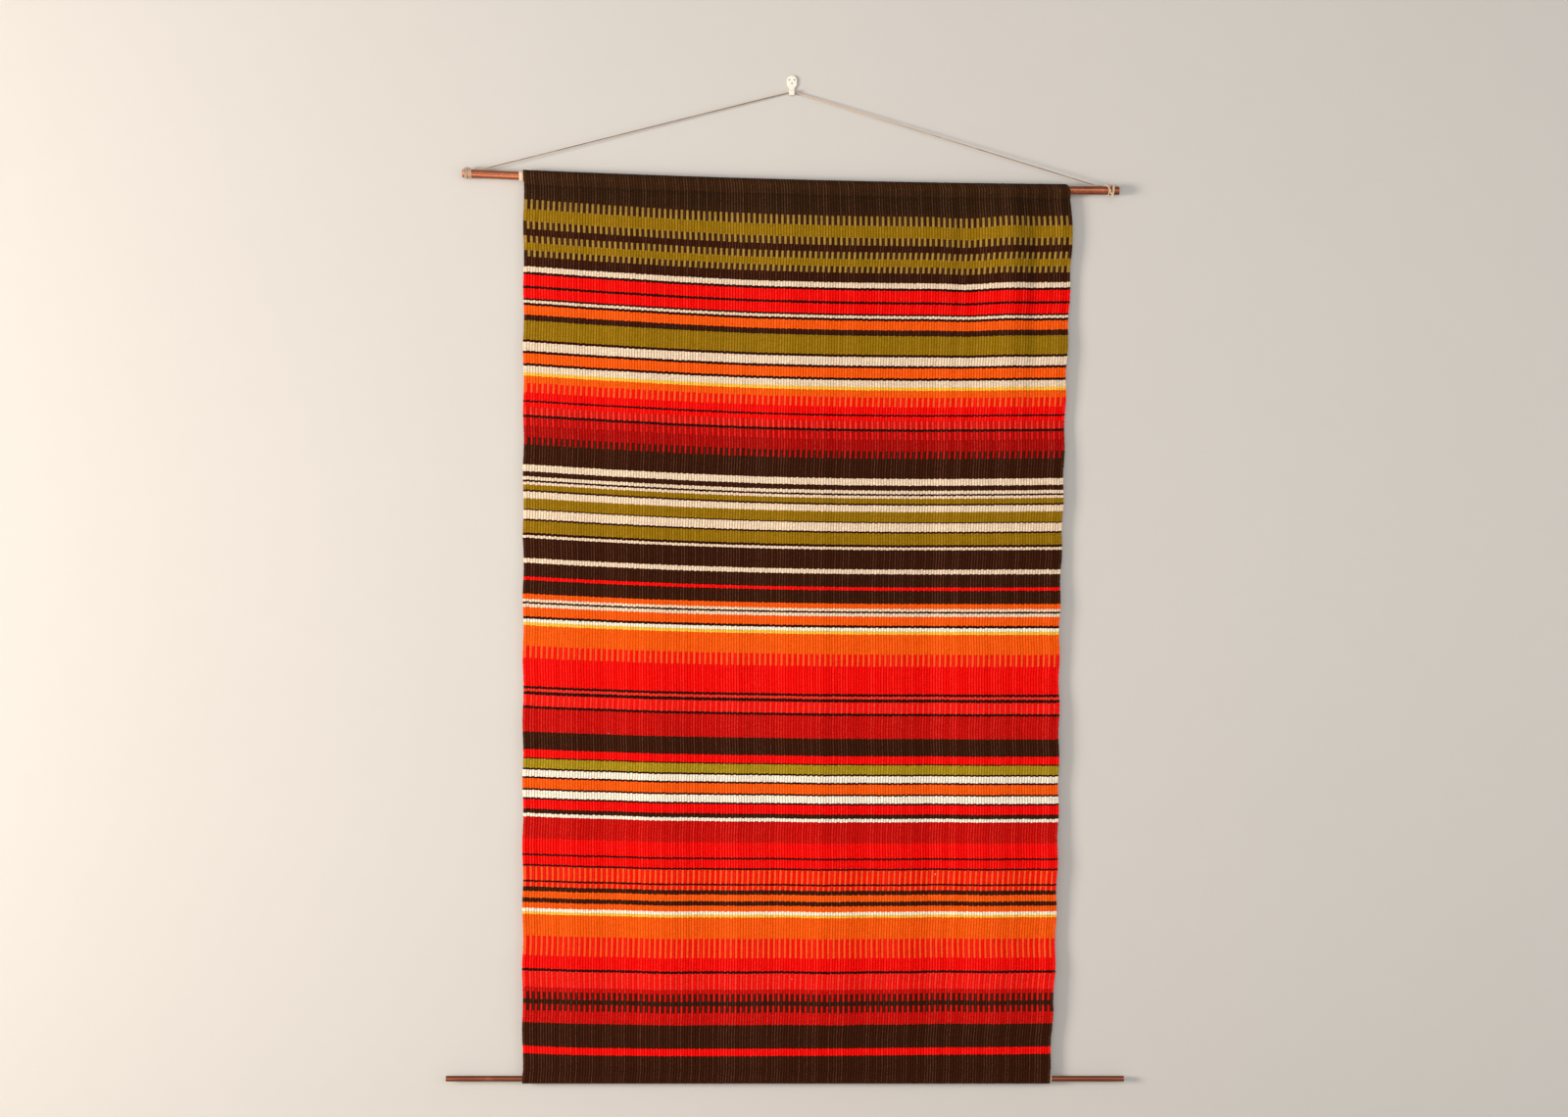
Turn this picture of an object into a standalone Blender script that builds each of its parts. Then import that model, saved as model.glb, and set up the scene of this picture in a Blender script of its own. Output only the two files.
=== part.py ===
# Tapestry wall hanging: a woven web on two copper tubes, hung by a twine from a hard-wall hook.
# The origin is the centre of the hook's back face, on the wall. +X is to the right of someone who
# faces the hanging, +Y goes into the wall and +Z is up. All sizes are in metres, angles in degrees.

import math

import bmesh
import bpy
from mathutils import Matrix, Vector

# ---- fits between pieces
TOUCH_GAP = 0.0003  # between pieces that rest on each other or are sewn together
SLIDE_GAP = 0.0017  # between a sleeve's inside and its tube
WALL_GAP = 0.0006  # between the top sleeve's back and the wall

# ---- hook
PLATE_WIDTH = 0.019
PLATE_HEIGHT = 0.0214
PLATE_TOP = 0.0196  # plate's top edge above the origin
PLATE_THICK = 0.003
PLATE_CORNER = 0.0045
CORNER_STEPS = 6
LIP_WIDTH = 0.010
LIP_THICK = 0.0027
LIP_TIP = 0.0096  # centre of the rounded lip tip, below the origin
TROUGH_RADIUS = 0.00165
TROUGH_DEPTH = 0.0118  # centre of the trough's curve, below the origin
NOSE_BOTTOM = 0.0180  # underside of the hook, below the origin
NOSE_ROUND = 0.0025
NOSE_STEPS = 5
TIP_STEPS = 6
TROUGH_STEPS = 8

# ---- pins
PIN_DIAMETER = 0.0010
PIN_CLEARANCE = 0.00035
PIN_REACH = 0.010  # how far a pin goes into the wall
PIN_POINT = 0.002
PIN_HEAD_DIAMETER = 0.0024
PIN_HEAD_THICK = 0.0007
PIN_HEAD_BEVEL = 0.00024
PIN_SIDES = 16
PIN_PLACES = ((-0.0045, 0.0120), (0.0045, 0.0120), (0.0, 0.0055))  # x and z of each pin

# ---- tubes
TOP_ROD_DIAMETER = 0.015
TOP_ROD_WALL = 0.0009
TOP_ROD_LEFT_OUT = 0.113  # tube showing to the left of the cloth
TOP_ROD_RIGHT_OUT = 0.0945
TOP_ROD_DROP = 0.160  # left end's centre below the origin
TOP_ROD_TILT = 1.53  # right end lower
TOP_ROD_SAG = 0.0065
BOTTOM_ROD_DIAMETER = 0.010
BOTTOM_ROD_WALL = 0.0008
BOTTOM_ROD_LEFT_OUT = 0.1415
BOTTOM_ROD_RIGHT_OUT = 0.1335
ROD_SPACING = 1.651  # from the top tube's left end down to the bottom tube
ROD_SIDES = 24
STATIONS = 16  # lengthwise divisions of everything that follows the bowed tube
BOTTOM_STATIONS = 2  # the bottom tube is straight
ARC_STEP = 12.0  # largest step round a sleeve, in degrees
SHARP_ANGLE = 35.0  # edges of hard pieces stay sharp above this
SOFT_ANGLE = 60.0  # and edges of cloth above this

# ---- cloth
CLOTH_LEFT = -0.487  # top left corner
CLOTH_WIDTH = 0.998  # at its widest
CLOTH_THICK = 0.0022
LEFT_SPREAD = 0.002  # how far the left edge leans out by the bottom
TOP_SEAM_DROP = 0.0081  # from the top tube's underside down to the seam
BOTTOM_SEAM_RISE = 0.0083  # from the bottom tube's upper side up to the seam
SEAM_FLAT = 0.003  # the two layers of a hem lie flat together this far above their seam
FOLD_DROP = 0.83  # from the top tube's left end down to the level where the cloth bends
PANEL_ROWS = 6
# how much narrower the web is than its widest, at each share of its height from the top
RIGHT_DRAW_IN = ((0.0, 0.0090), (0.045, 0.0), (0.23, 0.013), (0.40, 0.0200), (0.49, 0.0250),
                 (0.70, 0.0270), (0.88, 0.0325), (1.0, 0.0395))

# ---- hem tape and seam thread
TAPE_THICK = 0.0005
TAPE_OUT = 0.0095  # tape showing past the top sleeve's left mouth
LOWER_TAPE_OUT = 0.0050  # and past the bottom sleeve's right mouth
TAPE_FOOT = 0.003  # the tape ends this far short of the flat seam
THREAD_DIAMETER = 0.0010
THREAD_BELOW_SEAM = 0.002
THREAD_INSET = 0.004  # the thread starts this far in from the cloth's edge

# ---- twine
CORD_DIAMETER = 0.002
CORD_APEX = 0.0112  # centre of the twine below the origin, where it crosses the hook
CORD_BEND = 0.005  # how softly it bends over the hook
WRAP_GAP = 0.0005
LEFT_WRAP_FROM_END = 0.011  # outermost turn, from the tube's left end
LEFT_WRAP_PITCH = 0.0036
LEFT_WRAP_TURNS = 1.5  # half turns, so that the run-out's half turn ends on top
RIGHT_WRAP_FROM_END = 0.011
RIGHT_WRAP_PITCH = 0.0060
RIGHT_WRAP_TURNS = 1.5
WRAP_RUN_OUT = 0.016  # along the tube, while the twine turns from a wrap to a leg
WRAP_STEPS = 13  # points in each turn
LEG_POINTS = 8
KNOT_LENGTH = 0.0062
KNOT_DIAMETER = 0.0046

# ---- worked out from the above
ROD_FROM_WALL = WALL_GAP + CLOTH_THICK + SLIDE_GAP + TOP_ROD_DIAMETER / 2
TOP_LEFT_END = CLOTH_LEFT - TOP_ROD_LEFT_OUT
TOP_RIGHT_EDGE = CLOTH_LEFT + CLOTH_WIDTH - RIGHT_DRAW_IN[0][1]
TOP_RIGHT_END = TOP_RIGHT_EDGE + TOP_ROD_RIGHT_OUT
BOTTOM_LEFT_EDGE = CLOTH_LEFT - LEFT_SPREAD
BOTTOM_RIGHT_EDGE = CLOTH_LEFT + CLOTH_WIDTH - RIGHT_DRAW_IN[-1][1]
BOTTOM_ROD_Z = -TOP_ROD_DROP - ROD_SPACING
TOP_INNER = TOP_ROD_DIAMETER / 2 + SLIDE_GAP
BOTTOM_INNER = BOTTOM_ROD_DIAMETER / 2 + SLIDE_GAP
TOP_SEAM = TOP_ROD_DIAMETER / 2 + TOP_SEAM_DROP  # below the top tube's centre line
BOTTOM_SEAM = BOTTOM_ROD_DIAMETER / 2 + BOTTOM_SEAM_RISE  # above the bottom tube's centre line
LAYER_OFFSET = (CLOTH_THICK + TOUCH_GAP) / 2  # each hem layer, from the tube's centre line
CLOTH_Y = -ROD_FROM_WALL - LAYER_OFFSET
FOLD_Z = -TOP_ROD_DROP - FOLD_DROP


def clear_scene():
    for old in list(bpy.data.objects):
        bpy.data.objects.remove(old, do_unlink=True)


def make_material(name, colour, roughness, metallic=0.0):
    material = bpy.data.materials.new(name)
    material.use_nodes = True
    shader = material.node_tree.nodes["Principled BSDF"]
    shader.inputs["Base Color"].default_value = (*colour, 1.0)
    shader.inputs["Roughness"].default_value = roughness
    shader.inputs["Metallic"].default_value = metallic
    return material


def copper():
    return make_material("copper", (0.72, 0.33, 0.19), 0.25, 1.0)


def wool():
    return make_material("wool_web", (0.55, 0.05, 0.03), 0.9)


def cotton():
    return make_material("cotton_tape", (0.86, 0.78, 0.64), 0.9)


def thread():
    return make_material("seam_thread", (0.05, 0.03, 0.02), 0.8)


def twine():
    return make_material("natural_twine", (0.62, 0.46, 0.32), 0.85)


def white_plastic():
    return make_material("white_plastic", (0.88, 0.87, 0.84), 0.35)


def steel():
    return make_material("pin_steel", (0.55, 0.55, 0.56), 0.3, 1.0)


def add_object(name, shape, material, smooth_angle=SHARP_ANGLE):
    """Makes an object from a bmesh, with its faces out and its round sides smooth."""
    bmesh.ops.recalc_face_normals(shape, faces=shape.faces)
    mesh = bpy.data.meshes.new(name)
    shape.to_mesh(mesh)
    shape.free()
    mesh.materials.append(material)
    mesh.shade_smooth()
    mesh.set_sharp_from_angle(angle=math.radians(smooth_angle))
    made = bpy.data.objects.new(name, mesh)
    bpy.context.collection.objects.link(made)
    return made


def as_guide(made):
    made.hide_render = True
    made.display_type = "WIRE"
    return made


def thicken(made, thickness):
    """Gives an open surface its wall, half to each side."""
    wall = made.modifiers.new("wall", "SOLIDIFY")
    wall.thickness = thickness
    wall.offset = 0.0
    wall.use_even_offset = True
    wall.use_rim = True


def combine(made, tool, operation):
    cut = made.modifiers.new(tool.name, "BOOLEAN")
    cut.object = as_guide(tool)
    cut.operation = operation
    cut.solver = "EXACT"


def skin(rows, closed=False):
    """A surface through rows of points. Each row has as many points as the next."""
    shape = bmesh.new()
    grid = [[shape.verts.new(point) for point in row] for row in rows]
    last = len(grid[0]) if closed else len(grid[0]) - 1
    for near, far in zip(grid, grid[1:]):
        for i in range(last):
            j = (i + 1) % len(near)
            shape.faces.new((near[i], near[j], far[j], far[i]))
    return shape


def arc(centre, radius, start, end, steps):
    """Points on an arc, from the start angle to the end angle in degrees."""
    angles = [math.radians(start + (end - start) * i / steps) for i in range(steps + 1)]
    return [(centre[0] + radius * math.cos(a), centre[1] + radius * math.sin(a)) for a in angles]


def add_tube(name, points, diameter, material):
    """A solid cord along the points: a poly curve with a round bevel and filled ends."""
    curve = bpy.data.curves.new(name, "CURVE")
    curve.dimensions = "3D"
    curve.bevel_depth = diameter / 2
    curve.bevel_resolution = 2
    curve.use_fill_caps = True
    line = curve.splines.new("POLY")
    line.points.add(len(points) - 1)
    for target, point in zip(line.points, points):
        target.co = (*point, 1.0)
    curve.materials.append(material)
    made = bpy.data.objects.new(name, curve)
    bpy.context.collection.objects.link(made)
    return made


# ---- the bowed top tube's centre line, which the cloth follows

def rod_z(x):
    """Height of the top tube's centre line: a straight slope plus a parabolic sag."""
    half = (TOP_RIGHT_END - TOP_LEFT_END) / 2
    middle = (TOP_RIGHT_END + TOP_LEFT_END) / 2
    slope = -(x - TOP_LEFT_END) * math.tan(math.radians(TOP_ROD_TILT))
    return -TOP_ROD_DROP + slope - TOP_ROD_SAG * (1 - ((x - middle) / half) ** 2)


def rod_slope(x):
    step = 0.001  # half the stretch that the slope is taken over
    return (rod_z(x + step) - rod_z(x - step)) / (2 * step)


def right_edge(share):
    """The web's right edge at a share of its height from the top."""
    for (above, inset), (below, next_inset) in zip(RIGHT_DRAW_IN, RIGHT_DRAW_IN[1:]):
        if share <= below:
            t = (share - above) / (below - above)
            return CLOTH_LEFT + CLOTH_WIDTH - inset - t * (next_inset - inset)
    return BOTTOM_RIGHT_EDGE


def left_edge(share):
    return CLOTH_LEFT - LEFT_SPREAD * share


def hem_path(inner, seam, flat=SEAM_FLAT, foot=0.0, inset=0.0):
    """A hem's mid surface round a tube, as (y, z) from the tube's centre, tube above its seam.

    It rises from the seam on the front, goes over the tube and comes down the back to the seam. A
    lining has no flat part, ends a foot above it, and is inset, towards the tube.
    """
    radius = inner + CLOTH_THICK / 2
    reach = math.hypot(LAYER_OFFSET, seam - SEAM_FLAT)
    lean = math.degrees(math.atan2(LAYER_OFFSET, seam - SEAM_FLAT))
    tangent = -90 + lean + math.degrees(math.acos(radius / reach))
    straight = math.sqrt(reach ** 2 - radius ** 2) - foot
    back = arc((0, 0), radius - inset, tangent, 90, math.ceil((90 - tangent) / ARC_STEP))
    down = math.radians(tangent - 90)
    end = (back[0][0] + straight * math.cos(down), back[0][1] + straight * math.sin(down))
    half = [end] + back
    if flat:
        half = [(LAYER_OFFSET, -seam)] + half
    return [(-y, z) for y, z in half] + half[-2::-1]


def wrap_cloth(name, path, stretch, centre, upside, thickness, material):
    """A strip with the path's section, following a tube's centre line from end to end."""
    left, right = stretch
    rows = []
    for i in range(STATIONS + 1):
        x = left + (right - left) * i / STATIONS
        rows.append([Vector((x, -ROD_FROM_WALL + y, centre(x) + upside * z)) for y, z in path])
    made = add_object(name, skin(rows), material, SOFT_ANGLE)
    thicken(made, thickness)
    return made


def build_hook():
    """The hook: a rounded plate joined to a J-shaped lip, with a hole for each pin."""
    shape = bmesh.new()
    bmesh.ops.create_cube(shape, size=1.0)
    bmesh.ops.scale(shape, vec=(PLATE_WIDTH, PLATE_THICK, PLATE_HEIGHT), verts=shape.verts)
    middle = Vector((0, -PLATE_THICK / 2, PLATE_TOP - PLATE_HEIGHT / 2))
    bmesh.ops.translate(shape, vec=middle, verts=shape.verts)
    corners = [e for e in shape.edges if abs(e.verts[0].co.y - e.verts[1].co.y) > PLATE_THICK / 2]
    bmesh.ops.bevel(shape, geom=corners, offset=PLATE_CORNER, segments=CORNER_STEPS,
                     affect="EDGES", profile=0.5)
    plate = add_object("wall_hook", shape, white_plastic())
    combine(plate, build_lip(), "UNION")
    for number, (x, z) in enumerate(PIN_PLACES, 1):
        combine(plate, build_pin_hole(number, x, z), "DIFFERENCE")
    return plate


def build_lip():
    """The J in side view, extruded across the hook's width."""
    front = -PLATE_THICK - 2 * TROUGH_RADIUS - LIP_THICK
    lip_middle = front + LIP_THICK / 2
    trough = (-PLATE_THICK - TROUGH_RADIUS, -TROUGH_DEPTH)
    nose = NOSE_BOTTOM - NOSE_ROUND
    root = PLATE_TOP - PLATE_HEIGHT + PLATE_THICK
    outline = [(0.0, root)]
    outline += arc((-NOSE_ROUND, -nose), NOSE_ROUND, 0, -90, NOSE_STEPS)
    outline += arc((front + NOSE_ROUND, -nose), NOSE_ROUND, -90, -180, NOSE_STEPS)
    outline += arc((lip_middle, -LIP_TIP), LIP_THICK / 2, 180, 0, TIP_STEPS)
    outline += arc(trough, TROUGH_RADIUS, 180, 360, TROUGH_STEPS)
    outline += [(-PLATE_THICK, root)]
    shape = bmesh.new()
    side = [shape.verts.new((-LIP_WIDTH / 2, y, z)) for y, z in outline]
    face = shape.faces.new(side)
    grown = bmesh.ops.extrude_face_region(shape, geom=[face])
    moved = [v for v in grown["geom"] if isinstance(v, bmesh.types.BMVert)]
    bmesh.ops.translate(shape, vec=(LIP_WIDTH, 0, 0), verts=moved)
    return add_object("lip_guide", shape, white_plastic())


def build_pin_hole(number, x, z):
    shape = bmesh.new()
    radius = PIN_DIAMETER / 2 + PIN_CLEARANCE
    place = Matrix.Translation((x, -PLATE_THICK / 2, z)) @ Matrix.Rotation(math.pi / 2, 4, "X")
    bmesh.ops.create_cone(shape, cap_ends=True, segments=PIN_SIDES, radius1=radius, radius2=radius,
                          depth=3 * PLATE_THICK, matrix=place)
    return add_object(f"hole_guide_{number}", shape, white_plastic())


def build_pin(number, x, z):
    """A pin turned from its half profile: head, shank and point."""
    head_back = -PLATE_THICK - TOUCH_GAP
    head_front = head_back - PIN_HEAD_THICK
    shank = PIN_DIAMETER / 2
    head = PIN_HEAD_DIAMETER / 2
    profile = [(0, head_front), (head - PIN_HEAD_BEVEL, head_front), (head, head_front + PIN_HEAD_BEVEL),
               (head, head_back), (shank, head_back), (shank, PIN_REACH - PIN_POINT), (0, PIN_REACH)]
    shape = bmesh.new()
    verts = [shape.verts.new((x + r, y, z)) for r, y in profile]
    line = [shape.edges.new(pair) for pair in zip(verts, verts[1:])]
    bmesh.ops.spin(shape, geom=verts + line, cent=(x, 0, z), axis=(0, 1, 0), angle=2 * math.pi,
                   steps=PIN_SIDES, use_merge=True)
    bmesh.ops.remove_doubles(shape, verts=shape.verts, dist=1e-6)
    return add_object(f"hook_pin_{number}", shape, steel())


def build_rod(name, left, right, centre, slope, diameter, wall, pieces):
    """An open-ended tube: rings along its centre line, then a wall to the inside."""
    rows = []
    for i in range(pieces + 1):
        x = left + (right - left) * i / pieces
        turn = Matrix.Rotation(-math.atan(slope(x)), 3, "Y")
        ring = arc((0, 0), (diameter - wall) / 2, 0, 360 - 360 / ROD_SIDES, ROD_SIDES - 1)
        middle = Vector((x, -ROD_FROM_WALL, centre(x)))
        rows.append([middle + turn @ Vector((0, y, z)) for y, z in ring])
    made = add_object(name, skin(rows, closed=True), copper())
    thicken(made, wall)
    return made


def build_rods():
    build_rod("top_rod", TOP_LEFT_END, TOP_RIGHT_END, rod_z, rod_slope,
              TOP_ROD_DIAMETER, TOP_ROD_WALL, STATIONS)
    build_rod("bottom_rod", BOTTOM_LEFT_EDGE - BOTTOM_ROD_LEFT_OUT,
              BOTTOM_RIGHT_EDGE + BOTTOM_ROD_RIGHT_OUT, lambda x: BOTTOM_ROD_Z, lambda x: 0.0,
              BOTTOM_ROD_DIAMETER, BOTTOM_ROD_WALL, BOTTOM_STATIONS)


def build_sleeves():
    cloth = wool()
    wrap_cloth("top_sleeve", hem_path(TOP_INNER, TOP_SEAM),
               (CLOTH_LEFT, TOP_RIGHT_EDGE), rod_z, 1, CLOTH_THICK, cloth)
    wrap_cloth("bottom_sleeve", hem_path(BOTTOM_INNER, BOTTOM_SEAM),
               (BOTTOM_LEFT_EDGE, BOTTOM_RIGHT_EDGE), lambda x: BOTTOM_ROD_Z, -1, CLOTH_THICK, cloth)


def build_web(name, top, bottom):
    """A flat panel of web between two levels, each a height that may change along its width."""
    top_level = -TOP_ROD_DROP
    rows = []
    for j in range(PANEL_ROWS + 1):
        row = []
        for i in range(STATIONS + 1):
            across = i / STATIONS
            guess = CLOTH_LEFT + CLOTH_WIDTH * across
            z = top(guess) + (bottom(guess) - top(guess)) * j / PANEL_ROWS
            share = (top_level - z) / ROD_SPACING
            x = left_edge(share) + (right_edge(share) - left_edge(share)) * across
            row.append(Vector((x, CLOTH_Y, z)))
        rows.append(row)
    made = add_object(name, skin(rows), wool(), SOFT_ANGLE)
    thicken(made, CLOTH_THICK)


def build_webs():
    build_web("upper_web", lambda x: rod_z(x) - TOP_SEAM - TOUCH_GAP, lambda x: FOLD_Z + TOUCH_GAP / 2)
    build_web("lower_web", lambda x: FOLD_Z - TOUCH_GAP / 2,
              lambda x: BOTTOM_ROD_Z + BOTTOM_SEAM + TOUCH_GAP)


def build_tapes():
    """The cotton tape that lines each sleeve, between the tube and the cloth."""
    tape = cotton()
    inset = (CLOTH_THICK + TAPE_THICK) / 2 + TOUCH_GAP
    wrap_cloth("top_hem_tape", hem_path(TOP_INNER, TOP_SEAM, 0.0, TAPE_FOOT, inset),
               (CLOTH_LEFT - TAPE_OUT, TOP_RIGHT_EDGE - TAPE_OUT), rod_z, 1, TAPE_THICK, tape)
    wrap_cloth("bottom_hem_tape", hem_path(BOTTOM_INNER, BOTTOM_SEAM, 0.0, TAPE_FOOT, inset),
               (BOTTOM_LEFT_EDGE + LOWER_TAPE_OUT, BOTTOM_RIGHT_EDGE + LOWER_TAPE_OUT),
               lambda x: BOTTOM_ROD_Z, -1, TAPE_THICK, tape)


def build_thread(name, left, right, level):
    """The seam's thread, lying on the front of the web."""
    y = CLOTH_Y - CLOTH_THICK / 2 - TOUCH_GAP - THREAD_DIAMETER / 2
    start = left + THREAD_INSET
    points = []
    for i in range(STATIONS + 1):
        x = start + (right - THREAD_INSET - start) * i / STATIONS
        points.append(Vector((x, y, level(x))))
    add_tube(name, points, THREAD_DIAMETER, thread())


def build_threads():
    build_thread("top_seam_thread", CLOTH_LEFT, TOP_RIGHT_EDGE,
                 lambda x: rod_z(x) - TOP_SEAM - THREAD_BELOW_SEAM)
    build_thread("bottom_seam_thread", BOTTOM_LEFT_EDGE, BOTTOM_RIGHT_EDGE,
                 lambda x: BOTTOM_ROD_Z + BOTTOM_SEAM + THREAD_BELOW_SEAM)


def wrap_radius():
    return TOP_ROD_DIAMETER / 2 + WRAP_GAP + CORD_DIAMETER / 2


def wrap_points(end_x, inward, pitch, turns):
    """The twine's turns round the tube, from the outermost one inwards, and its run-out on top.

    The first turn starts on top of the tube. In the run-out the twine turns for another half turn
    while it speeds up along the tube, so that it leaves in line with the tube's top.
    """
    radius = wrap_radius()
    points = []
    for i in range(math.ceil(turns * WRAP_STEPS)):
        angle = math.tau * i / WRAP_STEPS
        x = end_x + inward * pitch * i / WRAP_STEPS
        points.append(Vector((x, -ROD_FROM_WALL - radius * math.sin(angle),
                              rod_z(x) + radius * math.cos(angle))))
    start = end_x + inward * pitch * turns
    for i in range(WRAP_STEPS):
        t = i / (WRAP_STEPS - 1)
        angle = math.tau * (turns + 0.5 - (1 - t) ** 2 / 2)
        x = start + inward * (pitch * t + WRAP_RUN_OUT * t ** 2)
        points.append(Vector((x, -ROD_FROM_WALL - radius * math.sin(angle),
                              rod_z(x) + radius * math.cos(angle))))
    return points


def leg_points(start, apex):
    """A taut leg from the tube's top to the hook: straight, and bent softly over the hook."""
    run = apex.x - start.x
    reach = math.hypot(run, CORD_BEND) - CORD_BEND
    points = []
    for i in range(1, LEG_POINTS + 1):
        t = 1 - (1 - i / (LEG_POINTS + 1)) ** 2
        x = start.x + run * t
        rise = (math.hypot(apex.x - x, CORD_BEND) - CORD_BEND) / reach
        points.append(Vector((x, start.y + (apex.y - start.y) * t, apex.z + (start.z - apex.z) * rise)))
    return points


def build_cord():
    """The whole twine: left wraps, left leg, hook, right leg and right wraps."""
    apex = Vector((0, -PLATE_THICK - TROUGH_RADIUS, -CORD_APEX))
    left = wrap_points(TOP_LEFT_END + LEFT_WRAP_FROM_END, 1, LEFT_WRAP_PITCH, LEFT_WRAP_TURNS)
    right = wrap_points(TOP_RIGHT_END - RIGHT_WRAP_FROM_END, -1, RIGHT_WRAP_PITCH, RIGHT_WRAP_TURNS)
    points = left + leg_points(left[-1], apex) + [apex]
    points += list(reversed(right + leg_points(right[-1], apex)))
    add_tube("hanging_cord", points, CORD_DIAMETER, twine())
    build_knot("left_knot", left[0], left[1])
    build_knot("right_knot", right[0], right[1])


def build_knot(name, end, inner):
    """A knot as a plain egg, just past the twine's end and in line with it."""
    direction = (end - inner).normalized()
    middle = end + direction * (KNOT_LENGTH / 2 + TOUCH_GAP) + Vector((0, 0, WRAP_GAP))
    turn = direction.to_track_quat("X", "Z").to_matrix().to_4x4()
    size = Matrix.Diagonal((KNOT_LENGTH, KNOT_DIAMETER, KNOT_DIAMETER, 1.0))
    shape = bmesh.new()
    bmesh.ops.create_icosphere(shape, subdivisions=2, radius=0.5,
                               matrix=Matrix.Translation(middle) @ turn @ size)
    add_object(name, shape, twine())


def main():
    clear_scene()
    build_hook()
    for number, (x, z) in enumerate(PIN_PLACES, 1):
        build_pin(number, x, z)
    build_rods()
    build_sleeves()
    build_webs()
    build_tapes()
    build_threads()
    build_cord()


main()
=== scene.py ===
import math

import bpy
import numpy as np
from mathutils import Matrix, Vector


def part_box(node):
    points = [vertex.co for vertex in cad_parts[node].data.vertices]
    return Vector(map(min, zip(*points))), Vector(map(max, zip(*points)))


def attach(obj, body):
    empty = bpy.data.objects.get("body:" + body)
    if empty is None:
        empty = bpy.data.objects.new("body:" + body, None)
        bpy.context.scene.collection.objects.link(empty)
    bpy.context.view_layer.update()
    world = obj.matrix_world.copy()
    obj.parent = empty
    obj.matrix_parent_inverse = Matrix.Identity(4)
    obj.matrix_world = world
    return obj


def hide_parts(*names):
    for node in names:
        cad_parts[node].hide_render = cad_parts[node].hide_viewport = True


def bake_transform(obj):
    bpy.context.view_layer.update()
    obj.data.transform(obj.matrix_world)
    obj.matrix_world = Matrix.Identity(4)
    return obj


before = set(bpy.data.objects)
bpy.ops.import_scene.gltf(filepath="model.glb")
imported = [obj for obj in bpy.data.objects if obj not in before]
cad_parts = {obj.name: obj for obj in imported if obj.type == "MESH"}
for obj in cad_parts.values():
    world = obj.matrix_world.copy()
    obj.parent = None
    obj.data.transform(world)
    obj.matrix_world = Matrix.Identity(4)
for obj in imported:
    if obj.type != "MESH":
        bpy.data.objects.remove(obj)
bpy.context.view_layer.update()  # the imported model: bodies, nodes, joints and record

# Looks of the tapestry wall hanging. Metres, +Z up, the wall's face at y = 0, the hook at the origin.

studio = {
    "cameraPlace": (-0.0143, -3.982, -0.8626),  # level, square to the wall
    "lens": 50.0,
    "wallColour": (198, 193, 187),
    "floorColour": (196, 193, 188),
    "floorHeight": -2.05,
    "stageSize": 9.0,
    "wallGap": 0.0004,
    "skyColour": (0.95, 0.97, 1.0),
    "skyStrength": 0.36,
    # name, place, aim, size, watts, colour
    "lights": (
        ("warm_key", (-4.9, -2.6, -0.8), (0.0, 0.0, -1.0), 1.5, 340.0, (1.0, 0.93, 0.85)),
        ("cool_fill", (2.9, -2.6, -1.3), (0.2, 0.0, -1.0), 2.4, 36.0, (0.93, 0.97, 1.0)),
        ("soft_front", (0.4, -4.4, 0.5), (0.0, 0.0, -1.0), 2.4, 50.0, (1.0, 0.985, 0.965)),
        ("low_bounce", (-0.6, -2.0, -1.95), (-0.2, 0.0, -0.6), 1.0, 7.0, (1.0, 0.95, 0.9)),
    ),
}


# ---- camera, floor, wall and lights

def linear(colour):
    # 8-bit display values to the linear values that shaders work in
    values = np.array(colour, float) / 255
    bright = ((values + 0.055) / 1.055) ** 2.4
    return (*np.where(values <= 0.04045, values / 12.92, bright).tolist(), 1.0)


def aimAt(thing, place, target):
    # stands a camera or a lamp at its place and turns it to face the target, by its pitch and its heading
    thing.location = place
    direction = np.array(target) - np.array(place)
    flat = math.hypot(direction[0], direction[1])
    thing.rotation_euler = (math.pi / 2 + math.atan2(direction[2], flat), 0.0,
                            math.atan2(-direction[0], direction[1]))


def makeCamera():
    # a level camera, square to the wall
    camera = bpy.data.objects.new("studio_camera", bpy.data.cameras.new("studio_camera"))
    camera.data.lens = studio["lens"]
    camera.data.sensor_width = 36.0
    x, y, z = studio["cameraPlace"]
    aimAt(camera, (x, y, z), (x, 0.0, z))
    bpy.context.scene.collection.objects.link(camera)
    bpy.context.scene.camera = camera


print("camera")
makeCamera()


# ---- surfaces: grids of points made into meshes

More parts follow.
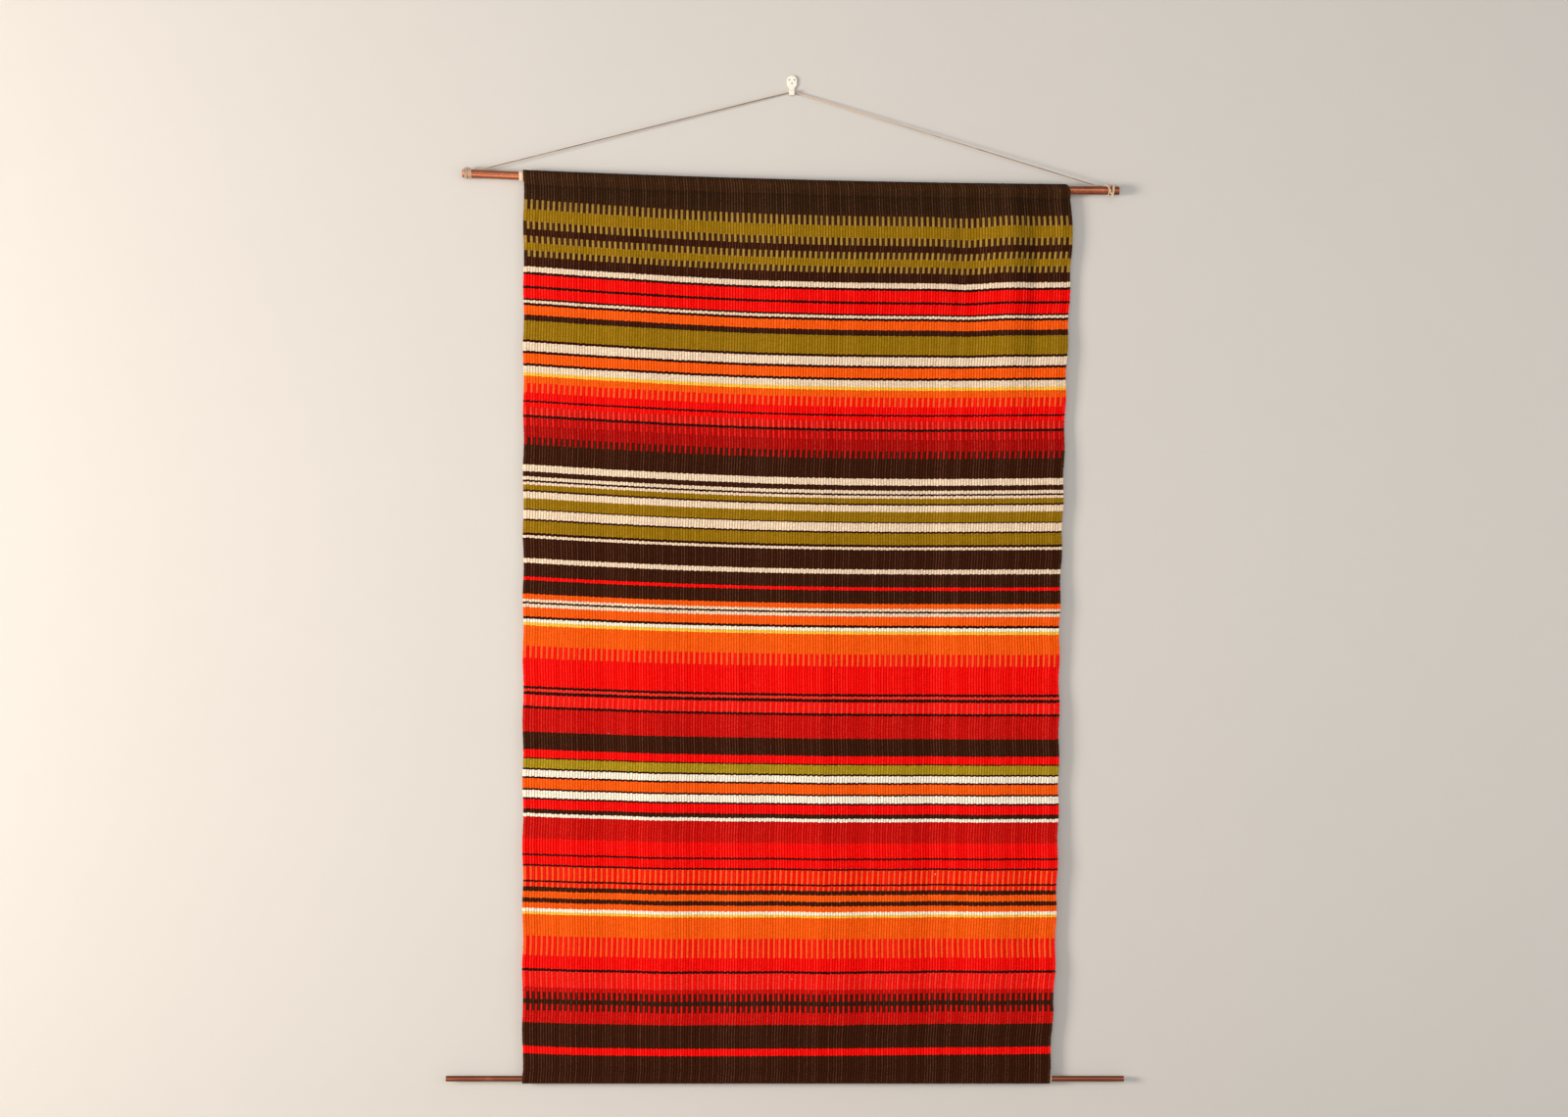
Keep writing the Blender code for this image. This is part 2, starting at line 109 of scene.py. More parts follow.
def gridSurface(points, uv, ringRows=False, ringCols=False, ends=None):
    # Four-sided faces between the points of a grid of rows and columns. A ring joins the last row or
    # column to the first. Open ends of a ring are closed by a fan to the middle, or, where the ring is a
    # flat strip, by faces from its upper run to its lower one.
    rows, cols = points.shape[:2]
    i, j = np.meshgrid(np.arange(rows - (not ringRows)), np.arange(cols - (not ringCols)), indexing="ij")
    i, j = i.ravel(), j.ravel()
    corners = ((i, j), (i + 1, j), (i + 1, j + 1), (i, j + 1))
    quads = [np.stack([(a % rows) * cols + b % cols for a, b in corners], 1)]
    quadUv = [np.stack([uv[a, b] for a, b in corners], 1)]
    tris, triUv = [np.zeros((0, 3), int)], [np.zeros((0, 3, 2))]
    verts = points.reshape(-1, 3)
    for row in (0, rows - 1) if ends else ():
        turn = 1 if row == 0 else -1
        if ends == "fan":
            k = np.arange(cols)
            centre = np.full(cols, len(verts))
            verts = np.vstack([verts, points[row].mean(0)])
            tris.append(np.stack([row * cols + k, row * cols + (k + 1) % cols, centre], 1)[:, ::turn])
            middle = np.repeat(uv[row].mean(0)[None], cols, 0)
            triUv.append(np.stack([uv[row, k], uv[row, k + 1], middle], 1)[:, ::turn])
        else:
            k = np.arange(cols // 2 - 1)
            strip = np.stack([k, k + 1, cols - 2 - k, cols - 1 - k], 1)[:, ::turn]
            quads.append(row * cols + strip)
            quadUv.append(uv[row][strip])
    return {"points": verts, "quads": np.vstack(quads), "quadUv": np.vstack(quadUv),
            "tris": np.vstack(tris), "triUv": np.vstack(triUv)}


def joinSurfaces(surfaces):
    # one surface out of several, each one's point numbers moved past those before it
    offsets = np.cumsum([0] + [len(s["points"]) for s in surfaces[:-1]])
    joined = {key: np.concatenate([s[key] for s in surfaces]) for key in ("points", "quadUv", "triUv")}
    for key in ("quads", "tris"):
        joined[key] = np.concatenate([s[key] + shift for s, shift in zip(surfaces, offsets)])
    return joined


def outward(surface):
    # turns every face round if the volume that they enclose comes out negative
    p, q, t = surface["points"], surface["quads"], surface["tris"]
    three = np.vstack([q[:, :3], q[:, [0, 2, 3]], t])
    a, b, c = p[three[:, 0]], p[three[:, 1]], p[three[:, 2]]
    if np.einsum("ij,ij->i", a, np.cross(b, c)).sum() < 0:
        for key in ("quads", "quadUv", "tris", "triUv"):
            surface[key] = surface[key][:, ::-1]
    return surface


def makeObject(name, surface, material, closed=True, sharpAngle=None):
    # a mesh object with its UV map, from a surface's points and faces
    surface = outward(surface) if closed else surface
    quads, tris = surface["quads"], surface["tris"]
    mesh = bpy.data.meshes.new(name)
    mesh.vertices.add(len(surface["points"]))
    mesh.vertices.foreach_set("co", surface["points"].astype(np.float32).ravel())
    loops = np.concatenate([quads.ravel(), tris.ravel()])
    mesh.loops.add(len(loops))
    mesh.loops.foreach_set("vertex_index", loops.astype(np.int32))
    starts = np.concatenate([4 * np.arange(len(quads)), 4 * len(quads) + 3 * np.arange(len(tris))])
    mesh.polygons.add(len(starts))
    mesh.polygons.foreach_set("loop_start", starts.astype(np.int32))
    corners = np.concatenate([surface["quadUv"].reshape(-1, 2), surface["triUv"].reshape(-1, 2)])
    mesh.uv_layers.new(name="surface").data.foreach_set("uv", corners.astype(np.float32).ravel())
    mesh.update(calc_edges=True)
    mesh.validate()
    mesh.shade_smooth()
    if sharpAngle:
        mesh.set_sharp_from_angle(angle=math.radians(sharpAngle))
    mesh.materials.append(material)
    made = bpy.data.objects.new(name, mesh)
    bpy.context.scene.collection.objects.link(made)
    return made


def smoothStep(low, high, values):
    # 0 below low and 1 above high, with an even S curve between
    t = np.clip((values - low) / (high - low), 0, 1)
    return t * t * (3 - 2 * t)


def distances(line):
    # how far along a line each of its points lies
    return np.concatenate([[0], np.cumsum(np.linalg.norm(np.diff(line, axis=0), axis=1))])


def spaced(line, step=None, count=None):
    # points at even distances along a line, a step apart or a given number of them, and those distances
    along = distances(line)
    even = np.linspace(0, along[-1], count or max(int(round(along[-1] / step)), 3) + 1)
    return np.stack([np.interp(even, along, column) for column in line.T], 1), even


def evenRoute(points, step, soften=0.0):
    # A Catmull-Rom curve through the points, then points at even distances along it. Soften is the length,
    # in metres, over which a bell-shaped average rounds off the corners; the two ends stay where they are.
    p = np.array(points, float)
    p = np.vstack([2 * p[0] - p[1], p, 2 * p[-1] - p[-2]])
    a, b, c, d = p[:-3, None], p[1:-2, None], p[2:-1, None], p[3:, None]
    fine = 12  # points between each two given ones
    t = np.linspace(0, 1, fine, endpoint=False)[None, :, None]
    square, cube = 2 * a - 5 * b + 4 * c - d, 3 * b - a - 3 * c + d
    curve = 0.5 * (2 * b + (c - a) * t + square * t ** 2 + cube * t ** 3)
    curve, even = spaced(np.vstack([curve.reshape(-1, 3), p[-2]]), step)
    if soften:
        reach = 12  # points to each side that the average takes in
        bell = np.exp(-0.5 * (np.arange(-reach, reach + 1) * step / soften) ** 2)
        padded = np.vstack([2 * curve[0] - curve[reach:0:-1], curve, 2 * curve[-1] - curve[-2:-reach - 2:-1]])
        average = [np.convolve(column, bell / bell.sum(), "valid") for column in padded.T]
        curve, even = spaced(np.stack(average, 1), step)
    return curve, even


def carriedFrames(route):
    # two directions across the route at each point, carried from one point to the next without twist
    forward = np.gradient(route, axis=0)
    forward /= np.linalg.norm(forward, axis=1)[:, None]
    across = np.zeros_like(route)
    before = np.cross(forward[0], (0.31, 0.83, 0.47))
    for i, ahead in enumerate(forward):
        before = before - ahead * before.dot(ahead)
        before /= np.linalg.norm(before)
        across[i] = before
    return across, np.cross(forward, across)


def roundTube(route, along, radius, sides, plies=0, plyDepth=0.0, plyPitch=1.0):
    # A tube along a route. With plies its radius swells over each strand and sinks between them, and the
    # strands turn once in each pitch. The UV map holds the turn in ply counts and the distance in metres.
    angle = np.linspace(0, math.tau, sides + 1)
    across, up = carriedFrames(route)
    twist = angle[None, :] - math.tau * along[:, None] / plyPitch
    swell = 1 - plyDepth * (1 - np.abs(np.cos(plies / 2 * twist))) if plies else np.ones_like(twist)
    size = (np.broadcast_to(radius, along.shape)[:, None] * swell)[..., None]
    ring = route[:, None] + size * (np.cos(angle)[None, :, None] * across[:, None]
                                    + np.sin(angle)[None, :, None] * up[:, None])
    uv = np.stack([twist * max(plies, 1) / math.tau, np.broadcast_to(along[:, None], twist.shape)], 2)
    return gridSurface(ring[:, :-1], uv, ringCols=True, ends="fan")


# ---- shader nodes

def addNode(tree, kind, inputs=None, **settings):
    # a shader node with its settings; each input is a value or another node's output
    made = tree.nodes.new("ShaderNode" + kind)
    for key, value in settings.items():
        setattr(made, key, value)
    for key, value in (inputs or {}).items():
        if isinstance(value, bpy.types.NodeSocket):
            tree.links.new(value, made.inputs[key])
        else:
            made.inputs[key].default_value = value
    return made


def maths(tree, operation, a, b=0.0, c=0.0):
    # one sum on values, named as Blender names it
    return addNode(tree, "Math", {0: a, 1: b, 2: c}, operation=operation).outputs[0]


def times(tree, a, b):
    return maths(tree, "MULTIPLY", a, b)


def timesPlus(tree, a, b, c):
    # a times b, plus c
    return maths(tree, "MULTIPLY_ADD", a, b, c)


def mixColour(tree, share, a, b):
    # colour a where the share is 0 and colour b where it is 1
    return addNode(tree, "Mix", {0: share, 6: a, 7: b}, data_type="RGBA").outputs[2]


def shadeColour(tree, colour, factor):
    # a colour times a factor
    return addNode(tree, "VectorMath", {0: colour, 3: factor}, operation="SCALE").outputs[0]


def mapRange(tree, value, low, high, toLow, toHigh):
    # a value between low and high carried in proportion to toLow and toHigh, and held there beyond them
    inputs = {"Value": value, "From Min": low, "From Max": high, "To Min": toLow, "To Max": toHigh}
    return addNode(tree, "MapRange", inputs).outputs["Result"]


def joinXYZ(tree, x, y, z=0.0):
    # three values as one vector
    return addNode(tree, "CombineXYZ", {0: x, 1: y, 2: z}).outputs[0]


def splitXYZ(tree, vector):
    # and a vector's three values
    return addNode(tree, "SeparateXYZ", {0: vector}).outputs


def noise(tree, vector, scale, detail=3.0, rough=0.55):
    # soft noise from 0 to 1, with so many patches to the metre
    inputs = {"Vector": vector, "Scale": scale, "Detail": detail, "Roughness": rough}
    return addNode(tree, "TexNoise", inputs).outputs["Fac"]


def makeGroup(name, inputs, outputs):
    # a node group with named sockets; returns it with its inside ends
    kinds = {"value": "NodeSocketFloat", "colour": "NodeSocketColor", "vector": "NodeSocketVector"}
    tree = bpy.data.node_groups.new(name, "ShaderNodeTree")
    for label, kind, default in inputs:
        socket = tree.interface.new_socket(label, in_out="INPUT", socket_type=kinds[kind])
        if kind != "vector":
            socket.default_value = default
    for label, kind in outputs:
        tree.interface.new_socket(label, in_out="OUTPUT", socket_type=kinds[kind])
    return tree, tree.nodes.new("NodeGroupInput").outputs, tree.nodes.new("NodeGroupOutput").inputs


def fillGroup(tree, group, inputs):
    # a placed group; its tree is set before its inputs, which it brings with it
    return addNode(tree, "Group", inputs, node_tree=group).outputs


def makeMaterial(name, **fixed):
    # a Principled material; fixed values are set on the shader's own sockets
    material = bpy.data.materials.new(name)
    material.use_nodes = True
    shader = material.node_tree.nodes["Principled BSDF"]
    for key, value in fixed.items():
        shader.inputs[key.replace("_", " ")].default_value = value
    return material, material.node_tree, shader


def setLook(tree, shader, colour, gloss, height, depth, strength=1.0):
    # A colour, a roughness and a height put into a shader. The roughness comes as what mapRange takes, and
    # the height is depth metres tall at 1.
    tree.links.new(colour, shader.inputs["Base Color"])
    if gloss:
        tree.links.new(mapRange(tree, *gloss), shader.inputs["Roughness"])
    bump = addNode(tree, "Bump", {"Height": height, "Distance": depth, "Strength": strength})
    tree.links.new(bump.outputs["Normal"], shader.inputs["Normal"])


def ownUv(tree):
    # the piece's own map: round and along for a tube, ribs and picks for the cloth
    return splitXYZ(tree, addNode(tree, "UVMap", uv_map="surface").outputs[0])[:2]


def ownPlace(tree):
    # Object coordinates: metres in the piece's own frame
    return addNode(tree, "TexCoord").outputs["Object"]


def fineVariationGroup():
    # colour made lighter and darker by noise in two sizes, with the same noise as a height
    tree, start, end = makeGroup("fineVariation", (
        ("Vector", "vector", None), ("Colour", "colour", (0.5, 0.5, 0.5, 1.0)), ("Scale", "value", 100.0),
        ("Amount", "value", 0.1)), (("Colour", "colour"), ("Height", "value")))
    coarse = noise(tree, start["Vector"], start["Scale"], 2.0)
    fine = noise(tree, start["Vector"], times(tree, start["Scale"], 7.3), 2.0)
    both = timesPlus(tree, fine, 0.45, times(tree, coarse, 0.55))
    swing = times(tree, maths(tree, "SUBTRACT", both, 0.5), start["Amount"])
    factor = timesPlus(tree, swing, 3.0, 1.0)
    tree.links.new(shadeColour(tree, start["Colour"], factor), end["Colour"])
    tree.links.new(both, end["Height"])
    return tree


def edgeWearGroup():
    # a mask of the surface's raised edges, broken up by noise
    tree, start, end = makeGroup("edgeWear", (
        ("Vector", "vector", None), ("Scale", "value", 300.0), ("Low", "value", 0.52),
        ("High", "value", 0.62)), (("Mask", "value"),))
    raised = addNode(tree, "NewGeometry").outputs["Pointiness"]
    broken = timesPlus(tree, noise(tree, start["Vector"], start["Scale"]), 0.12, raised)
    shifted = maths(tree, "SUBTRACT", broken, 0.06)
    tree.links.new(mapRange(tree, shifted, start["Low"], start["High"], 0.0, 1.0), end["Mask"])
    return tree


def plyTwistGroup():
    # round strands with fine fibres running along them, from the turn and the distance of a tube's UV map,
    # and a shade value: painted shade between the strands and a painted highlight on their tops
    tree, start, end = makeGroup("plyTwist", (
        ("Turn", "value", 0.0), ("Along", "value", 0.0), ("Fibres", "value", 9.0)),
        (("Height", "value"), ("Shade", "value")))
    strand = maths(tree, "ABSOLUTE", maths(tree, "COSINE", times(tree, start["Turn"], math.pi)))
    spun = times(tree, start["Turn"], start["Fibres"])
    drawn = times(tree, start["Along"], 260.0)
    fibre = noise(tree, joinXYZ(tree, spun, drawn), 1.0, 4.0, 0.7)
    height = timesPlus(tree, fibre, 0.45, strand)
    tree.links.new(height, end["Height"])
    # painted shade between the strands, painted highlight on their tops
    tree.links.new(mapRange(tree, height, 0.1, 1.25, 0.45, 1.12), end["Shade"])
    return tree


def lintGroup():
    # small pale specks: a few of many scattered cells hold one, each a short bit of fluff
    tree, start, end = makeGroup("lint", (
        ("Vector", "vector", None), ("Scale", "value", 45.0), ("Share", "value", 0.05),
        ("Size", "value", 0.1)), (("Mask", "value"),))
    bent = noise(tree, start["Vector"], 900.0, 2.0)
    shifted = addNode(tree, "VectorMath", {0: joinXYZ(tree, bent, bent, bent), 1: (0.0016, 0.0016, 0.0016),
                                           2: start["Vector"]}, operation="MULTIPLY_ADD").outputs[0]
    cells = addNode(tree, "TexVoronoi", {"Vector": shifted, "Scale": start["Scale"]}).outputs
    chosen = maths(tree, "LESS_THAN", addNode(tree, "SeparateColor", {0: cells["Color"]}).outputs[0],
                   start["Share"])
    near = maths(tree, "LESS_THAN", cells["Distance"], start["Size"])
    tree.links.new(times(tree, chosen, near), end["Mask"])
    return tree


print("shader groups")
fineVariation = fineVariationGroup()
edgeWear = edgeWearGroup()
plyTwist = plyTwistGroup()
lint = lintGroup()


def varied(tree, place, colour, scale, amount):
    # the fine variation on one material's colour
    inputs = {"Vector": place, "Colour": colour, "Scale": scale, "Amount": amount}
    return fillGroup(tree, fineVariation, inputs)


def wornEdges(tree, place, scale):
    # the edge wear mask with a material's own grain
    return fillGroup(tree, edgeWear, {"Vector": place, "Scale": scale})["Mask"]


def carry(piece, body, node):
    # a piece rides on its body and stands for its CAD solid
    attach(piece, body)
    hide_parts(node)


# ---- the two copper tubes

topTube = {
    "left": -0.600,
    "right": 0.5965,
    "drop": 0.160,  # left end's centre below the hook
    "tilt": 1.53,  # degrees, right end lower
    "sag": 0.0065,
    "wall": 0.0009,
    "lipPoints": 7,
    "sides": 72,
    "stations": 96,
}
bottomTube = {"wall": 0.0008, "lipPoints": 7, "sides": 56, "stations": 48}
copperLook = {
    "clean": (226, 136, 98),
    "tarnish": (122, 66, 46),
    "roughness": (0.20, 0.52),
    "patchScale": 16.0,
    "spotScale": 240.0,
    # painted shade: extra tarnish colour towards the right hand side and lower down
    "shadeRight": 0.2,
    "shadeBelow": 0.34,
    "bump": 0.000001,
}


def tubeZ(x):
    # height of the top tube's centre line: a straight slope plus a parabolic sag
    half = (topTube["right"] - topTube["left"]) / 2
    middle = (topTube["right"] + topTube["left"]) / 2
    slope = (x - topTube["left"]) * math.tan(math.radians(topTube["tilt"]))
    return -topTube["drop"] - slope - topTube["sag"] * (1 - ((x - middle) / half) ** 2)


topLow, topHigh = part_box("top_rod")
bottomLow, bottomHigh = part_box("bottom_rod")
tubeY = (topLow.y + topHigh.y) / 2
topRadius = (topHigh.y - topLow.y) / 2
bottomRadius = (bottomHigh.y - bottomLow.y) / 2
bottomZ = (bottomLow.z + bottomHigh.z) / 2


def tubeSurface(left, right, centreZ, radius, size):
    # A pipe's wall as a ring of rings: out along its outside, round the softened lip, back along its
    # bore and round the other lip. Each ring stands square to the centre line.
    half = size["wall"] / 2
    lip = np.linspace(0, math.pi, size["lipPoints"])[1:-1]
    run = np.linspace(left + half, right - half, size["stations"])
    x = np.concatenate([run, right - half + half * np.sin(lip), run[::-1], left + half - half * np.sin(lip)])
    offset = np.concatenate([np.full(len(run), half), half * np.cos(lip), np.full(len(run), -half),
                             -half * np.cos(lip)])
    step = 0.001
    slope = (centreZ(x + step) - centreZ(x - step)) / (2 * step)
    lean = -np.arctan(slope)
    angle = np.linspace(0, math.tau, size["sides"] + 1)
    ring = (radius - half + offset)[:, None] * np.stack([np.sin(angle), np.cos(angle)])[:, None, :]
    points = np.stack([x[:, None] + ring[1] * np.sin(lean)[:, None], tubeY + ring[0],
                       centreZ(x)[:, None] + ring[1] * np.cos(lean)[:, None]], 2)
    uv = np.stack([np.broadcast_to(angle * radius, points.shape[:2]),
                   np.broadcast_to(x[:, None], points.shape[:2])], 2)
    uv = np.concatenate([uv, uv[:1]])
    return gridSurface(points[:, :-1], uv, ringRows=True, ringCols=True)


def copperMaterial():
    # drawn lines along the tube, brown tarnish in patches, brighter rubbed lips and smudges, and painted
    # shade as more tarnish colour to the right and lower down
    material, tree, shader = makeMaterial("copper", Metallic=1.0)
    around, along = ownUv(tree)
    place = ownPlace(tree)
    lines = noise(tree, joinXYZ(tree, times(tree, around, 2600.0),
                                times(tree, along, 9.0)), 1.0, 3.0, 0.6)
    patches = noise(tree, place, copperLook["patchScale"], 5.0, 0.62)
    spots = noise(tree, place, copperLook["spotScale"], 3.0, 0.6)
    # painted shade: the right hand side and the lower tube are pushed towards the tarnish colour, and made
    # rougher
    x, _, z = splitXYZ(tree, place)
    paintedShade = maths(tree, "ADD", mapRange(tree, x, -0.45, 0.62, 0.0, copperLook["shadeRight"]),
                 mapRange(tree, z, -0.2, -1.8, 0.0, copperLook["shadeBelow"]))
    tarnishAndShade = maths(tree, "ADD", timesPlus(tree, spots, 0.28, patches), paintedShade)
    mask = maths(tree, "SUBTRACT", mapRange(tree, tarnishAndShade, 0.60, 0.95, 0.0, 0.85), wornEdges(tree, place, 400.0))
    colour = mixColour(tree, maths(tree, "MAXIMUM", mask, 0.0), linear(copperLook["clean"]),
                       linear(copperLook["tarnish"]))
    gloss = timesPlus(tree, lines, 0.16, times(tree, mask, 0.36))
    setLook(tree, shader, varied(tree, place, colour, 60.0, 0.16)["Colour"],
            (gloss, 0.0, 0.5, *copperLook["roughness"]),
            timesPlus(tree, spots, 0.3, lines), copperLook["bump"])
    return material


def flatLevel(level):
    # the height of something level, as a function of x
    return lambda x: level + 0 * x


print("copper tubes")
copper = copperMaterial()
topPipe = makeObject("top_copper_tube", tubeSurface(topTube["left"], topTube["right"], tubeZ, topRadius,
                                                    topTube), copper)
bottomPipe = makeObject("bottom_copper_tube", tubeSurface(bottomLow.x, bottomHigh.x, flatLevel(bottomZ),
                                                          bottomRadius, bottomTube), copper)
carry(topPipe, "top_tube", "top_rod")
carry(bottomPipe, "bottom_tube", "bottom_rod")


# ---- the woven cloth

weave = {
    "ribs": 196,  # warp ribs across the cloth
    "pick": 0.0012,  # height of one pick of weft
    "crest": 0.00122,  # half thickness on a rib
    "valley": 0.00070,  # and between two ribs
    "behind": 0.00118,  # at most so far behind the mid surface
    "unevenRibs": 0.07,
    "unevenStitches": 0.05,
    "left": -0.487,
    "width": 0.998,
    "leftSpread": 0.002,
    "cornerInset": 0.0120,  # the top right corner is rounded off
    "cornerRise": 0.0165,
    "hemRows": 25,
    "webRows": 74,
    # how much narrower the cloth is than its widest, at shares of its height
    "drawIn": ((0.0, 0.0090), (0.03, 0.0055), (0.05, 0.0), (0.23, 0.013), (0.40, 0.0200), (0.49, 0.0250),
               (0.70, 0.0270), (0.88, 0.0335), (1.0, 0.0430)),
    # each edge's own waver: how far, its length and its start
    "leftWaver": (0.0009, 0.113, 0.0),
    "rightWaver": (0.0011, 0.094, 2.0),
    # at shares of its height: how far the bands fall from left to right, and how far they sag between
    "bandTilt": ((0.0, 0.0313), (0.12, 0.0289), (0.21, 0.0266), (0.36, 0.0250), (0.5, 0.0183), (0.64, 0.0150),
                 (0.78, 0.0086), (0.85, 0.0054), (1.0, 0.0018)),
    "bandSag": ((0.0, 0.0138), (0.12, 0.0138), (0.25, 0.0114), (0.36, 0.0114), (0.5, 0.0071),
                (0.64, 0.0055), (0.85, 0.0050), (1.0, 0.0063)),
    "bandSkew": ((0.0, 1.0), (0.36, 1.0), (0.5, 0.85), (1.0, 0.576)),  # below 1 it sags more to the left
    "bandDip": 0.0030,  # how far the bands dip beside the fold
}
drape = {
    # long shallow waves across the cloth: height, length, start and lean
    "waves": ((0.0022, 0.31, 0.9, 0.8), (0.0014, 0.147, 2.1, 1.9)),
    "foldX": 0.402,
    "foldLeft": 0.036,
    "foldRight": 0.026,
    "foldHeight": 0.0085,
    "drift": 0.012,  # how far the fold wanders to the left lower down
    # hollows beside the fold: x, width and depth
    "dips": ((0.318, 0.036, 1.0), (0.449, 0.014, 0.8)),
    # short folds under the top right corner: x, width and height
    "streaks": ((0.447, 0.0075, 0.0028), (0.492, 0.009, 0.0024)),
    "topGroove": 0.0016,
    "bottomGroove": 0.0009,
    "cup": 0.0016,  # how far the edges curl to and fro
}
hem = {
    "layerOffset": 0.00125,  # each layer of a hem, from its tube's centre line
    "thickness": 0.0022,
    "slideGap": 0.0017,
    "topSeam": 0.0156,  # below the top tube's centre line
    "bottomSeam": 0.0133,  # above the bottom tube's centre line
    "flat": 0.003,  # the two layers lie flat together this far above the seam
}
# The weaver's draft, from the top edge down: a yarn and how many picks, or where two yarns take turns
# the yarn on the left and the right rib of each pair.
draft = """bark 45, khaki+brown 15, olive 17, brown+khaki 12, brown 10, khaki+brown 11, olive 11,
brown+khaki 11, brown 15, cream 8, umber 4, red 17, umber 4, red 15, umber 3, cream 4, umber 4,
orange 14, brown 9, olive 29, umber 4, cream 13, umber 4, orange 15, umber 4, cream 10, amber 5,
orange 10, coral+red 14, red 12, umber 3, red 7, rose+crimson 12, umber 4, scarlet+wine 13, wine 18,
wine+brown 11, brown 31, cream 10, brown 8, cream 5, umber 3, cream 4, olive 8, umber 3, cream 10,
olive 16, umber 2, cream 13, umber 3, olive 18, umber 4, cream 4, brown 30, cream 7, brown 21, red 5,
brown 22, orange 8, cream 4, umber 3, cream 5, orange 14, umber 4, ivory 5, amber 5, orange 31,
coral+red 18, red 43, umber 4, rose 4, umber 5, rose+red 17, umber 4, crimson 34, brown 27, red 12,
umber 3, moss 14, umber 3, ivory 10, umber 3, orange 15, umber 3, ivory 11, umber 3, red 14, brown 7,
ivory 5, crimson 33, red 23, umber 3, red 13, umber 3, coral+red 21, umber 3, coral+red 6, brown 7,
orange 10, brown 7, orange 9, ivory 5, amber 4, orange 34, coral+red 29, red 20, umber 4, rose+red 24,
crimson 7, crimson+brown 11, brown 7, crimson+brown 11, crimson 18, brown 36, red 10, brown 47"""
yarns = {
    "brown": (53, 20, 3),
    # painted light: a paler brown for the first band, standing in for the light that the top sleeve catches
    "bark": (54, 30, 9),
    "umber": (43, 5, 1),
    "olive": (147, 109, 6),
    "khaki": (158, 124, 50),
    "moss": (166, 137, 22),
    "cream": (236, 208, 178),
    "ivory": (250, 234, 212),
    "red": (246, 3, 0),
    "scarlet": (216, 16, 10),
    "coral": (252, 80, 26),
    "rose": (240, 44, 30),
    "crimson": (198, 8, 3),
    "wine": (166, 4, 1),
    "orange": (250, 88, 6),
    "amber": (252, 190, 62),
}
bands = [(entry.split()[0].split("+"), int(entry.split()[1])) for entry in draft.split(",")]
totalPicks = sum(picks for yarn, picks in bands)


def draftGroup():
    # The draft as colours: one chain of stepped ramps for even ribs and one for odd ones. Each ramp holds
    # 255 picks, one for each step that a ramp can tell apart.
    reach = 255
    tree, start, end = makeGroup("draftColour", (("Pick", "value", 0.0), ("Odd", "value", 0.0)),
                                 (("Colour", "colour"),))
    edges = np.concatenate([[0], np.cumsum([picks for yarn, picks in bands])])
    chains = []
    for side in (0, -1):
        chain = None
        for first in range(0, totalPicks, reach):
            step = maths(tree, "DIVIDE", maths(tree, "SUBTRACT", start["Pick"], first - 0.5), reach)
            ramp = addNode(tree, "ValToRGB", {"Fac": step})
            ramp.color_ramp.interpolation = "CONSTANT"
            stops = ramp.color_ramp.elements
            stops.remove(stops[-1])
            inside = [k for k in range(len(bands)) if edges[k + 1] > first and edges[k] < first + reach]
            for k in inside:
                place = max((edges[k] - first - 0.25) / reach, 0.0)
                stop = stops[0] if k == inside[0] else stops.new(place)
                stop.position = place
                stop.color = linear(yarns[bands[k][0][side]])
            colour = ramp.outputs["Color"]
            past = maths(tree, "GREATER_THAN", start["Pick"], first - 0.5)
            chain = colour if chain is None else mixColour(tree, past, chain, colour)
        chains.append(chain)
    tree.links.new(mixColour(tree, start["Odd"], *chains), end["Colour"])
    return tree


def belowSeam(tree, place):
    # how far a point lies below the top seam, which follows the tube's slope and its parabolic sag
    x, _, z = splitXYZ(tree, place)
    slope = math.tan(math.radians(topTube["tilt"]))
    seamLeft = float(tubeZ(weave["left"]) - hem["topSeam"]) - 0.0005
    straight = timesPlus(tree, x, -slope, seamLeft + slope * weave["left"])
    half = (topTube["right"] - topTube["left"]) / 2
    middle = (topTube["right"] + topTube["left"]) / 2
    across = maths(tree, "DIVIDE", maths(tree, "SUBTRACT", x, middle), half)
    corner = ((weave["left"] - middle) / half) ** 2
    sag = times(tree, timesPlus(tree, times(tree, across, across), -1.0, corner), topTube["sag"])
    return maths(tree, "SUBTRACT", maths(tree, "SUBTRACT", straight, z), sag)


def cellTone(tree, x, y):
    # one random value for each rib and each whole step of y
    cells = joinXYZ(tree, x, maths(tree, "FLOOR", y))
    return addNode(tree, "TexWhiteNoise", {"Vector": cells}, noise_dimensions="2D").outputs["Value"]


woolLook = {
    "slant": 0.35,  # how far a stitch slants across its rib, in picks
    "ragged": 0.6,  # how far band edges wander, in picks
    # what the tone is made of: a base and each cause's share
    "tone": 0.62,
    "stitchTone": 0.30,
    "ribTone": 0.16,
    "fleckTone": 0.34,
    "streakTone": 0.12,
    "gap": 0.42,  # painted shade: tone in the gap between two ribs
    "crestHighlight": (0.90, 1.11),  # and, as painted highlight, from a rib's flanks to its top
    "seamShade": -0.26,  # painted shade below the top seam
    "creaseShade": -0.18,  # and more painted shade in its crease
    "ridgeHighlight": (0.02, 0.10),  # painted highlight along the top of a rib, from dull ribs to bright ones
    "highlightColour": (255, 190, 160),
    "lintColour": (226, 206, 180),
    "bump": 0.0005,
}


